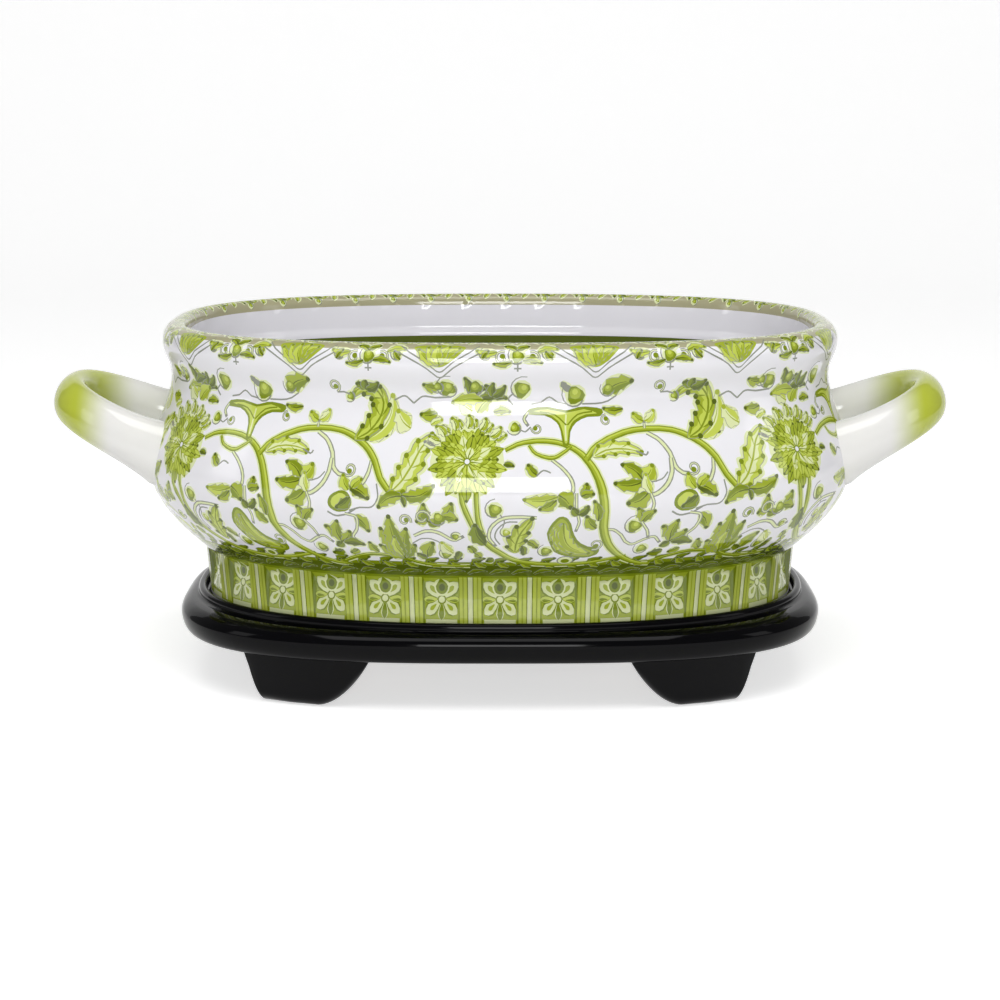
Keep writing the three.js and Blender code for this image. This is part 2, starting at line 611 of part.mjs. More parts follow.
// Hole for a screw, with the wider bore that its head goes in through.
function screwHole({ place, z, length }) {
  const lead = rod(new THREE.Vector3(place.x, place.y, -1),
    new THREE.Vector3(place.x, place.y, z + 0.1), SCREW_HEAD_RADIUS + SEAT_GAP);
  const hole = screwGeometry(length, SEAT_GAP).translate(place.x, place.y, z);
  return toGeometry(toSolid(lead).add(toSolid(hole)));
}

// Mirrors a piece of the front right corner to another corner.
function atCorner(geometry, sideX, sideY) {
  const copy = geometry.clone();
  copy.scale(sideX, sideY, 1);
  return facingOut(copy);
}

// ---------------------------------------------------------------- assembly
const corners = [
  { name: 'front_right', sideX: 1, sideY: 1 }, { name: 'front_left', sideX: -1, sideY: 1 },
  { name: 'back_right', sideX: 1, sideY: -1 }, { name: 'back_left', sideX: -1, sideY: -1 },
];

addPiece('basin', makeBasin(), porcelain);
addPiece('handle_right', makeHandle(1), greenGlaze);
addPiece('handle_left', makeHandle(-1), greenGlaze);

const screwHoles = [footScrew, blockScrew].map(screwHole);
const foot = cut(makeFoot(), [screwHoles[0]]);
const block = cut(makeBlock(), [screwHoles[1]]);
for (const { name, sideX, sideY } of corners) {
  addPiece(`foot_${name}`, atCorner(foot, sideX, sideY), lacquer);
  addPiece(`glue_block_${name}`, atCorner(block, sideX, sideY), rawWood);
  addPiece(`foot_screw_${name}`, atCorner(placedScrew(footScrew), sideX, sideY), zincSteel);
  addPiece(`block_screw_${name}`, atCorner(placedScrew(blockScrew), sideX, sideY), zincSteel);
}

const [backRight, backLeft, frontLeft, frontRight] = CORNER_ANGLES;
const rails = [
  { name: 'frame_rail_back', from: backRight, to: backLeft, long: 1 },
  { name: 'frame_end_left', from: backLeft, to: frontLeft, long: 0 },
  { name: 'frame_rail_front', from: frontLeft, to: frontRight, long: -1 },
  { name: 'frame_end_right', from: frontRight, to: backRight + 2 * Math.PI, long: 0 },
];
for (const { name, from, to, long } of rails) {
  const bores = [from, to].flatMap(dowelLines).map(dowelBore);
  const mortises = long ? [-BATTEN_X, BATTEN_X].map((x) => mortise(x, long)) : [];
  const holes = long ? [1, -1].flatMap((sideX) => screwHoles.map((hole) => atCorner(hole, sideX, -long))) : [];
  addPiece(name, cut(makeRail(from, to), [...bores, ...mortises, ...holes]), lacquer);
}

CORNER_ANGLES.forEach((angle, corner) => {
  const place = ['back_right', 'back_left', 'front_left', 'front_right'][corner];
  dowelLines(angle).forEach(({ from, to }, i) => {
    addPiece(`dowel_${place}_${i ? 'outer' : 'inner'}`, rod(from, to, DOWEL_RADIUS), rawWood);
  });
});

addPiece('floor_panel', makePanel(), plywood);
addPiece('batten_right', makeBatten(BATTEN_X), rawWood);
addPiece('batten_left', makeBatten(-BATTEN_X), rawWood);

export default group;
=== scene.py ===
"""Oval porcelain jardiniere, painted with a green lotus scroll, on its black lacquered stand.

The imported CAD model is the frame. This script gives the basin, the handles, the moulded frame and
the feet their fine shapes and finishes, finishes the hidden joinery, and sets up the studio.
Shapes are worked out in millimetres, in the frame's own axes: +X through the handles, -Y to the
front, +Z up, the floor at 0. Meshes are written in metres.
"""

from __future__ import annotations

import json
import logging
import math
import random
from dataclasses import dataclass, field
from enum import Enum
from typing import Iterable, Sequence

import bpy
import numpy as np
from bpy.types import Material, Node, NodeSocket, NodeTree, Object
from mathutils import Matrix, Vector, geometry, kdtree

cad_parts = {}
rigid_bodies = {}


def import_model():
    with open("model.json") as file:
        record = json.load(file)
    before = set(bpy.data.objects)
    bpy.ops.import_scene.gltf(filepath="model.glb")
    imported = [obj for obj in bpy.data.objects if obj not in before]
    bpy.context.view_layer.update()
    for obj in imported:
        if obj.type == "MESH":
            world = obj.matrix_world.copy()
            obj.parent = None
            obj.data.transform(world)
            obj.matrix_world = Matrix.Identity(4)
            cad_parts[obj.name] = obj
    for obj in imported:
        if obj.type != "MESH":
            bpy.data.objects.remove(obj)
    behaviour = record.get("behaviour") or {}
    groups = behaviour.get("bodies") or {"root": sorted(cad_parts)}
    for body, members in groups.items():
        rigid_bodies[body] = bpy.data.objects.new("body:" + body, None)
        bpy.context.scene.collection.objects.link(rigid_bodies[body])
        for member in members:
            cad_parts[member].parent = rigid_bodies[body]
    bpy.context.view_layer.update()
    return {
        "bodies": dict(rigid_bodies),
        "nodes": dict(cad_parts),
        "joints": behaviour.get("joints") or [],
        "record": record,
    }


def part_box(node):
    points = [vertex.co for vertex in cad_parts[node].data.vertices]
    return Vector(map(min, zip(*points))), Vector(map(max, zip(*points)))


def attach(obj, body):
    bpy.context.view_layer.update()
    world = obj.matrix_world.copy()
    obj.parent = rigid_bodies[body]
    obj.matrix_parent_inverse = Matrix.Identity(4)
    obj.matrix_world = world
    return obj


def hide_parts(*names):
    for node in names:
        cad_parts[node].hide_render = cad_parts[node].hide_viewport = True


LOG = logging.getLogger("jardiniere")
MM = 0.001
SEAT_GAP = 0.3            # gap that the CAD leaves between pieces that touch, mm
POT_BODY = "jardiniere"
STAND_BODY = "stand"


# ---------------- curves and plans
def cubic(start: Sequence[float], pull_out: Sequence[float], pull_in: Sequence[float],
          end: Sequence[float], steps: int) -> np.ndarray:
    """Points of a cubic curve, without its first one.

    Args:
        start: First point.
        pull_out: Point that the curve leaves towards.
        pull_in: Point that the curve arrives from.
        end: Last point.
        steps: Number of points.

    Returns:
        Array of steps points.
    """
    u = np.linspace(0.0, 1.0, steps + 1)[1:, None]
    a, b, c, d = (np.array(p, float) for p in (start, pull_out, pull_in, end))
    return (1 - u) ** 3 * a + 3 * (1 - u) ** 2 * u * b + 3 * (1 - u) * u ** 2 * c + u ** 3 * d


def smoothstep(value: np.ndarray | float) -> np.ndarray | float:
    """Eases a share from 0 to 1."""
    share = np.clip(value, 0.0, 1.0)
    return share * share * (3 - 2 * share)


@dataclass(frozen=True)
class OvalPlan:
    """Rounded oval whose half-width is its half-length less a fixed amount.

    Attributes:
        narrower: Half-length less half-width, mm.
        squareness: Exponent of the oval: 2 is an ellipse, more is boxier.
    """

    narrower: float
    squareness: float

    def mixed(self, other: OvalPlan, share: float) -> OvalPlan:
        """Plan part of the way from this one to another."""
        return OvalPlan(self.narrower + (other.narrower - self.narrower) * share,
                        self.squareness + (other.squareness - self.squareness) * share)

    def points(self, half: float | np.ndarray, angles: np.ndarray) -> np.ndarray:
        """Points of the oval with a given half-length, mm, at polar-like angles, 0 at +X."""
        return oval_points(half, self.narrower, self.squareness, angles)

    def half_width(self, half: float, x: np.ndarray | float) -> np.ndarray | float:
        """Half-width of the oval at a given x."""
        n = self.squareness
        return (half - self.narrower) * (1 - (np.abs(x) / half) ** n) ** (1 / n)

    def even_angles(self, half: float, start: float, end: float, steps: int) -> np.ndarray:
        """Angles that divide the oval between two angles into stretches of equal length."""
        fine = np.linspace(start, end, 40 * steps + 1)
        run = np.linalg.norm(np.diff(self.points(half, fine), axis=0), axis=1)
        length = np.concatenate([[0.0], np.cumsum(run)])
        return np.interp(np.linspace(0, length[-1], steps + 1), length, fine)


FOOT_PLAN = OvalPlan(62.5, 2.4)   # oval of the basin's foot and of the seat that it stands on


def oval_points(half: float | np.ndarray, narrower: float | np.ndarray,
                squareness: float | np.ndarray, angles: np.ndarray) -> np.ndarray:
    """Points of rounded ovals, where every argument may differ from point to point.

    Args:
        half: Half-lengths, mm.
        narrower: Half-lengths less half-widths, mm.
        squareness: Exponents of the ovals.
        angles: Polar-like angles, 0 at +X.

    Returns:
        Array of x, y pairs in mm.
    """
    cos, sin = np.cos(angles), np.sin(angles)
    reach = (np.abs(cos) ** squareness + np.abs(sin) ** squareness) ** (-1 / squareness)
    return np.stack([half * reach * cos, (half - narrower) * reach * sin], axis=-1)


# ---------------- meshes
def make_object(name: str, points: np.ndarray, faces: Iterable[Sequence[int]],
                materials: Sequence[Material], slots: Sequence[int] | None = None,
                normals: np.ndarray | None = None) -> Object:
    """Makes a smooth-shaded mesh object.

    Args:
        name: Name of the object and its mesh.
        points: Corners in mm.
        faces: Corner numbers of each face.
        materials: The object's materials.
        slots: Which of the materials each face has, all the first when left out.
        normals: The smooth surface's own normals at the corners, when they are known.

    Returns:
        The object, linked to the scene.
    """
    mesh = bpy.data.meshes.new(name)
    mesh.from_pydata((points * MM).tolist(), [], [list(map(int, f)) for f in faces])
    for material in materials:
        mesh.materials.append(material)
    mesh.polygons.foreach_set("use_smooth", np.ones(len(mesh.polygons), bool))
    if slots is not None:
        mesh.polygons.foreach_set("material_index", np.asarray(slots, np.int32))
    mesh.update()
    if normals is not None:
        mesh.normals_split_custom_set_from_vertices(normals.tolist())
    obj = bpy.data.objects.new(name, mesh)
    bpy.context.scene.collection.objects.link(obj)
    return obj


def tube_faces(sections: int, count: int) -> list[list[int]]:
    """Faces of a tube of equal sections, each closed round, with a flat cap at both ends.

    Args:
        sections: Number of sections.
        count: Corners in a section.

    Returns:
        Corner numbers of each face.
    """
    faces = []
    for start in range(0, (sections - 1) * count, count):
        for corner in range(count):
            a, b = start + corner, start + (corner + 1) % count
            faces.append([a, b, b + count, a + count])
    last = (sections - 1) * count
    return faces + [list(range(count))[::-1], list(range(last, last + count))]


def turned_out(points: np.ndarray, faces: list[list[int]]) -> list[list[int]]:
    """Faces with their order reversed when the closed mesh's volume comes out negative."""
    volume = 0.0
    for face in faces:
        a = points[face[0]]
        for second, third in zip(face[1:], face[2:]):
            volume += float(np.dot(a, np.cross(points[second], points[third])))
    return [face[::-1] for face in faces] if volume < 0 else faces


def hard_edges(obj: Object, degrees: float) -> None:
    """Marks edges sharper than an angle, so that shading breaks there."""
    obj.data.set_sharp_from_angle(angle=math.radians(degrees))


# ---------------- finishes
def linear(hex_colour: str) -> tuple[float, float, float, float]:
    """Linear colour of an sRGB hex value such as "c3cf5a"."""
    channels = [int(hex_colour[i:i + 2], 16) / 255 for i in (0, 2, 4)]
    red, green, blue = (c / 12.92 if c <= 0.04045 else ((c + 0.055) / 1.055) ** 2.4 for c in channels)
    return red, green, blue, 1.0


def add_node(tree: NodeTree, kind: str, settings: dict | None = None,
             links: dict | None = None) -> Node:
    """Adds a node.

    Args:
        tree: The material's or the world's node tree.
        kind: Blender's name of the node type.
        settings: Attributes by name, and values of input sockets by their name or number.
        links: Output sockets that feed this node's inputs, by the input's name or number.

    Returns:
        The node.
    """
    node = tree.nodes.new(kind)
    for key, value in (settings or {}).items():
        if isinstance(key, str) and hasattr(node, key):
            setattr(node, key, value)
        else:
            node.inputs[key].default_value = value
    for key, output in (links or {}).items():
        tree.links.new(output, node.inputs[key])
    return node


def new_shader(name: str, sockets: dict) -> tuple[Material, Node]:
    """Makes a material with one Principled shader and sets its plain sockets.

    Args:
        name: The material's name.
        sockets: Values of the shader's sockets by name.

    Returns:
        The material and its shader node.
    """
    material = bpy.data.materials.new(name)
    material.use_nodes = True
    shader = material.node_tree.nodes["Principled BSDF"]
    for key, value in sockets.items():
        shader.inputs[key].default_value = value
    return material, shader


def mix_colours(tree: NodeTree, shader: Node, share: NodeSocket,
                first: str, second: str) -> None:
    """Feeds the shader's colour with a mix of two hex colours, all the second where share is 1."""
    mix = add_node(tree, "ShaderNodeMix", {"data_type": "RGBA", 6: linear(first), 7: linear(second)},
                   {0: share})
    tree.links.new(mix.outputs[2], shader.inputs["Base Color"])


def add_bump(tree: NodeTree, shader: Node, height: NodeSocket,
             strength: float, depth_mm: float) -> None:
    """Feeds the shader's normal with a bump that is depth_mm high."""
    bump = add_node(tree, "ShaderNodeBump", {"Strength": strength, "Distance": depth_mm * MM},
                    {"Height": height})
    tree.links.new(bump.outputs[0], shader.inputs["Normal"])


class Glaze(Enum):
    """Colours on the porcelain, as sRGB hex values: the name says where the brush leaves them."""

    WHITE = "eeedf1"          # bare glaze over the white body
    BISCUIT = "d8d2c4"        # unglazed foot ring that the basin stands on
    LINE = "8d9184"           # thin grey outline that each shape is laid over
    SHADE = "55630f"          # darkest touches, and the olive ring inside under the neck: part painted line, part painted shade
    DARK = "7d8e14"           # deep olive green
    LEAF = "a2b12e"           # leaf green
    BRIGHT = "c3d055"         # yellow green
    PALE = "dfe6b0"           # thin wash
    KHAKI = "aca886"          # wash on the rolled rim

    def darker(self) -> Glaze:
        """Next darker green, laid over this one for shade."""
        greens = [Glaze.PALE, Glaze.BRIGHT, Glaze.LEAF, Glaze.DARK, Glaze.SHADE, Glaze.SHADE]
        return greens[greens.index(self) + 1] if self in greens else Glaze.LINE


WHITE, BISCUIT, LINE, SHADE, DARK, LEAF, BRIGHT, PALE, KHAKI = Glaze
GLAZE_NUMBER = {glaze: index for index, glaze in enumerate(Glaze)}


@dataclass(frozen=True)
class GlazedPorcelain:
    """Hard porcelain under a thick clear glaze, painted under it.

    It gives the eye mirror-sharp lamp reflections over colours that stay soft.
    """

    ior: float = 1.52
    roughness: float = 0.055
    dry_roughness: float = 0.7

    def build(self, glaze: Glaze) -> Material:
        """Material of one painted colour."""
        dry = glaze is BISCUIT
        material, _ = new_shader(f"glazed_porcelain_{glaze.name.lower()}", {
            "Base Color": linear(glaze.value),
            "Roughness": self.dry_roughness if dry else self.roughness,
            "IOR": self.ior,
        })
        return material


@dataclass(frozen=True)
class WashedHandleGlaze:
    """White porcelain handle with a chartreuse wash that fades in towards the end of the loop.

    It gives the eye a soft change of colour under one hard, clear gloss.
    """

    white: str = "eeedea"
    wash: str = "bcc63c"
    fade_start: float = 234.0     # distance from the middle of the basin, mm
    fade_end: float = 260.0
    ior: float = 1.52
    roughness: float = 0.06

    def build(self) -> Material:
        """Material that mixes the two colours by the distance along the basin's length."""
        material, shader = new_shader("glazed_porcelain_handle", {
            "Roughness": self.roughness, "IOR": self.ior})
        tree = material.node_tree
        place = add_node(tree, "ShaderNodeTexCoord")
        apart = add_node(tree, "ShaderNodeSeparateXYZ", links={0: place.outputs["Object"]})
        along = add_node(tree, "ShaderNodeMath", {"operation": "ABSOLUTE"}, {0: apart.outputs["X"]})
        share = add_node(tree, "ShaderNodeMapRange", {
            "interpolation_type": "SMOOTHSTEP", "From Min": self.fade_start * MM,
            "From Max": self.fade_end * MM}, {"Value": along.outputs[0]})
        mix_colours(tree, shader, share.outputs[0], self.white, self.wash)
        return material


@dataclass(frozen=True)
class BlackLacquer:
    """Many thin coats of black lacquer, rubbed down and polished over a hardwood moulding.

    It gives the eye a near-black ground with crisp, slightly wavy lamp reflections.
    """

    colour: str = "040406"
    ior: float = 1.5
    shine: float = 0.1            # rubbed lacquer mirrors less than its index gives
    smoothest: float = 0.05
    dullest: float = 0.1
    ripple_mm: float = 14.0       # spacing of the hand-rubbed unevenness
    ripple_strength: float = 0.05

    def build(self) -> Material:
        """Material whose gloss and surface vary a little by place."""
        material, shader = new_shader("black_lacquer", {
            "Base Color": linear(self.colour), "IOR": self.ior, "Specular IOR Level": self.shine})
        tree = material.node_tree
        place = add_node(tree, "ShaderNodeTexCoord")
        noise = add_node(tree, "ShaderNodeTexNoise", {"Scale": 1 / (self.ripple_mm * MM), "Detail": 2.0},
                         {"Vector": place.outputs["Object"]})
        gloss = add_node(tree, "ShaderNodeMapRange", {
            "To Min": self.smoothest, "To Max": self.dullest}, {"Value": noise.outputs["Fac"]})
        tree.links.new(gloss.outputs[0], shader.inputs["Roughness"])
        add_bump(tree, shader, noise.outputs["Fac"], self.ripple_strength, 1.0)
        return material


@dataclass(frozen=True)
class SawnWood:
    """Planed wood left bare or stained, with its grain along one axis.

    It gives the eye fine streaks along the piece and hardly any shine.
    """

    name: str
    light: str
    dark: str
    roughness: float
    grain_mm: float = 2.2         # spacing of the grain lines across the piece
    stretch: float = 0.06         # how much slower the grain changes along the piece
    relief: float = 0.25
    relief_mm: float = 0.3
    along: str = "Y"

    def build(self) -> Material:
        """Material with streaks along the chosen axis."""
        material, shader = new_shader(self.name, {"Roughness": self.roughness, "IOR": 1.5})
        tree = material.node_tree
        place = add_node(tree, "ShaderNodeTexCoord")
        scale = Vector(self.stretch if axis == self.along else 1.0 for axis in "XYZ")
        stretched = add_node(tree, "ShaderNodeMapping", links={"Vector": place.outputs["Object"]})
        stretched.inputs["Scale"].default_value = scale
        grain = add_node(tree, "ShaderNodeTexNoise", {
            "Scale": 1 / (self.grain_mm * MM), "Detail": 5.0, "Roughness": 0.6},
            {"Vector": stretched.outputs[0]})
        mix_colours(tree, shader, grain.outputs["Fac"], self.dark, self.light)
        add_bump(tree, shader, grain.outputs["Fac"], self.relief, self.relief_mm)
        return material


@dataclass(frozen=True)
class ZincPlatedSteel:
    """Turned steel screw with a bright zinc plate. It gives the eye a soft metallic sheen."""

    colour: str = "b4b6b8"
    roughness: float = 0.38

    def build(self) -> Material:
        """Material of the screws."""
        material, _ = new_shader("zinc_plated_steel", {
            "Base Color": linear(self.colour), "Metallic": 1.0, "Roughness": self.roughness})
        return material


# ---------------- basin
@dataclass
class Basin:
    """Cast oval basin with a foot ring, a full belly, a drawn-in neck and a rolled rim.

    Half-lengths along X and heights above the basin's own foot are in mm. The plan changes from
    the foot's oval to the body's oval between the waist and the belly.
    """

    foot_inset: float = 34.9          # foot ring's half-length less than the belly's
    waist_inset: float = 36.7
    waist_height: float = 28.0
    belly_height: float = 84.0
    neck_inset: float = 15.0
    neck_height: float = 141.0
    rim_inset: float = 10.3
    rim_face_height: float = 160.0
    crest_inset: float = 20.0
    mouth_inset: float = 25.5
    throat_height: float = 150.0      # where the inside starts to turn in towards the neck
    wall: float = 9.5
    neck_wall: float = 12.3           # thicker where the neck turns in
    shade_ring_top: float = 143.2           # top of the olive ring inside, under the neck: part painted line, part painted shade of the neck's inner overhang
    shade_ring_foot: float = 136.5
    floor_thickness: float = 9.0
    ring_width: float = 9.0
    ring_recess: float = 10.0
    ring_rounding: float = 1.6
    lip_share: float = 0.64           # how much of the crown the rim's inner edge lies below its crest
    belly_pull: float = 0.35          # how long the belly's curve stays upright, as a share of its rise
    belly_squareness: float = 2.6
    wobble: float = 0.16              # unevenness left by the kiln
    around: int = 240                 # corners round the oval
    girth_samples: int = 7201         # angles at which the way round the belly is measured
    half: float = field(init=False)
    height: float = field(init=False)
    foot_z: float = field(init=False)
    plan: OvalPlan = field(init=False)

    def __post_init__(self) -> None:
        """Takes the basin's place and overall size from the CAD frame."""
        low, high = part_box("basin")
        self.half = high.x / MM
        self.foot_z = low.z / MM
        self.height = (high.z - low.z) / MM
        self.plan = OvalPlan((high.x - high.y) / MM, self.belly_squareness)

    def outside(self, finer: int = 1) -> np.ndarray:
        """Outline from the foot ring's outer edge to the inner edge of the rim.

        Args:
            finer: How many steps stand for each plain one.

        Returns:
            Rows of half-length and height, mm.
        """
        foot, waist = self.half - self.foot_inset, self.half - self.waist_inset
        belly, neck, rim = self.half, self.half - self.neck_inset, self.half - self.rim_inset
        crest, mouth = self.half - self.crest_inset, self.half - self.mouth_inset
        waist_z, belly_z, neck_z = self.waist_height, self.belly_height, self.neck_height
        face_z, top = self.rim_face_height, self.height
        spring, turn = 0.285 * waist_z, self.ring_rounding
        below, above, roll, crown = belly_z - waist_z, neck_z - belly_z, face_z - neck_z, top - face_z
        stops = [
            ((foot - turn, 0), (foot - turn / 2, 0), (foot, turn / 2), (foot, turn), 3),
            ((foot, turn), (foot, waist_z / 2), (waist, waist_z / 2), (waist, waist_z), 5),
            ((waist, waist_z), (waist + spring, waist_z + spring), (belly, belly_z - 0.464 * below),
             (belly, belly_z), 14),
            ((belly, belly_z), (belly, belly_z + self.belly_pull * above), (neck, neck_z - above / 3),
             (neck, neck_z), 12),
            ((neck, neck_z), (neck, neck_z + 0.37 * roll), (rim, face_z - 0.42 * roll), (rim, face_z), 7),
            ((rim, face_z), (rim, top - 0.364 * crown), (crest + 0.545 * crown, top), (crest, top), 10),
            ((crest, top), (crest - 0.364 * crown, top), (mouth, top - 0.27 * crown),
             (mouth, top - self.lip_share * crown), 8),
        ]
        return np.vstack([[stops[0][0]]] + [cubic(*stop[:4], stop[4] * finer) for stop in stops])

    def inside(self) -> np.ndarray:
        """Outline from below the rim's inner edge to the edge of the flat floor: half, height."""
        belly_z = self.belly_height
        edge_z = self.height - self.lip_share * (self.height - self.rim_face_height)
        above = self.neck_height - belly_z
        floor = self.ring_recess + self.floor_thickness
        mouth, belly = self.half - self.mouth_inset, self.half - self.wall
        neck = self.half - self.neck_inset - self.neck_wall
        waist = self.half - self.waist_inset
        drop = edge_z - self.throat_height
        throat = mouth - 0.2 * (mouth - neck)
        turn = self.throat_height - self.shade_ring_top
        outline = np.vstack([
            cubic((mouth, edge_z), (mouth, edge_z - drop / 3), (throat, self.throat_height + drop / 3),
                  (throat, self.throat_height), 4),
            cubic((throat, self.throat_height), (throat, self.throat_height - turn / 3),
                  (neck, self.shade_ring_top + turn / 2), (neck, self.shade_ring_top), 7),
            cubic((neck, self.shade_ring_top), (neck, self.shade_ring_top - above / 3),
                  (belly, belly_z + self.belly_pull * above), (belly, belly_z), 9),
            cubic((belly, belly_z), (belly, belly_z - 0.52 * (belly_z - floor)), (waist, floor),
                  (waist - 3 * self.wall, floor), 12),
        ])
        below = int(np.argmax(outline[:, 1] < self.shade_ring_foot))
        upper, lower = outline[below - 1], outline[below]
        share = (upper[1] - self.shade_ring_foot) / (upper[1] - lower[1])
        return np.insert(outline, below, upper + (lower - upper) * share, axis=0)

    def underside(self) -> np.ndarray:
        """Outline from the hollow base out to the foot ring's outer edge: half, height."""
        inner = self.half - self.foot_inset - self.ring_width
        bank = inner - self.ring_recess / 2
        turn = self.ring_rounding
        return np.vstack([
            [(bank - turn, self.ring_recess)],
            cubic((bank - turn, self.ring_recess), (bank, self.ring_recess),
                  (bank + 0.4, self.ring_recess - turn), (inner - 0.6, turn), 6),
            cubic((inner - 0.6, turn), (inner - 0.2, turn / 2), (inner + turn / 2, 0),
                  (inner + turn, 0), 4),
        ])

    def girth_steps(self, start: float) -> tuple[np.ndarray, np.ndarray]:
        """Plan angles once round the belly from a start, and the lengths of the steps between them."""
        fine = np.linspace(start, start + 2 * math.pi, self.girth_samples)
        return fine, np.linalg.norm(np.diff(self.plan.points(self.half, fine), axis=0), axis=1)

    def girth_angles(self, along: np.ndarray) -> np.ndarray:
        """Plan angles at distances round the belly, in mm, 0 in the middle of the front."""
        fine, steps = self.girth_steps(-math.pi / 2)
        length = np.concatenate([[0.0], np.cumsum(steps)])
        return np.interp(np.mod(along, length[-1]), length, fine)

    @property
    def girth(self) -> float:
        """Length round the belly, mm."""
        return float(self.girth_steps(0)[1].sum())

    def place(self, halves: np.ndarray, heights: np.ndarray, angles: np.ndarray) -> np.ndarray:
        """Points of the basin's surface.

        Args:
            halves: Half-lengths of the ovals through the points, mm.
            heights: Heights above the basin's foot, mm.
            angles: Plan angles.

        Returns:
            Array of x, y, z in mm, with the kiln's slight unevenness.
        """
        share = smoothstep((heights - self.waist_height) / (self.belly_height - self.waist_height))
        narrower = FOOT_PLAN.narrower + (self.plan.narrower - FOOT_PLAN.narrower) * share
        squareness = FOOT_PLAN.squareness + (self.belly_squareness - FOOT_PLAN.squareness) * share
        lean = np.sin(3 * angles + heights / 31) + 0.6 * np.sin(7 * angles - heights / 23 + 1.3)
        inward = self.wobble * (1 + 0.5 * lean)
        flat = oval_points(halves - inward, narrower, squareness, angles)
        return np.column_stack([flat, self.foot_z + heights])

    def rings(self, outline: np.ndarray, angles: np.ndarray) -> np.ndarray:
        """Rings of points, one for each point of an outline."""
        return np.array([self.place(np.full(angles.shape, half), np.full(angles.shape, height), angles)
                         for half, height in outline])


# ---------------- painting
Point = tuple[float, float]


def smooth(points: Sequence[Point], step: float = 2.2, closed: bool = False) -> np.ndarray:
    """Points along a smooth curve through a few given ones.

    Args:
        points: Points that the curve passes through, mm.
        step: Distance between the points of the result, mm.
        closed: Whether the curve runs back to its first point.

    Returns:
        Array of points.
    """
    knots = np.array(points, float)
    if closed:
        knots = np.vstack([knots[-1:], knots, knots[:2]])
    else:
        knots = np.vstack([2 * knots[0] - knots[1], knots, 2 * knots[-1] - knots[-2]])
    curve = []
    for a, b, c, d in zip(knots, knots[1:], knots[2:], knots[3:]):
        count = max(2, math.ceil(np.linalg.norm(c - b) / step))
        for u in np.arange(count) / count:
            curve.append(0.5 * (2 * b + (c - a) * u + (2 * a - 5 * b + 4 * c - d) * u ** 2
                                + (3 * b - a - 3 * c + d) * u ** 3))
    if not closed:
        curve.append(knots[-2])
    return np.array(curve)


def side_of(path: np.ndarray) -> np.ndarray:
    """Unit vectors to the left of a path at each of its points."""
    along = np.gradient(path, axis=0)
    along /= np.maximum(np.linalg.norm(along, axis=1), 1e-9)[:, None]
    return np.column_stack([-along[:, 1], along[:, 0]])


def toward(angle: float | np.ndarray) -> np.ndarray:
    """Unit vectors at angles in radians."""
    return np.stack([np.cos(angle), np.sin(angle)], axis=-1)


def ribbon(path: np.ndarray, width: float | np.ndarray, shift: float | np.ndarray = 0.0) -> np.ndarray:
    """Outline of a band of a given width along a path, moved sideways by a shift."""
    left = side_of(path)
    width = np.broadcast_to(width, len(path))[:, None]
    middle = path + left * np.broadcast_to(shift, len(path))[:, None]
    return np.vstack([middle + left * width / 2, (middle - left * width / 2)[::-1]])


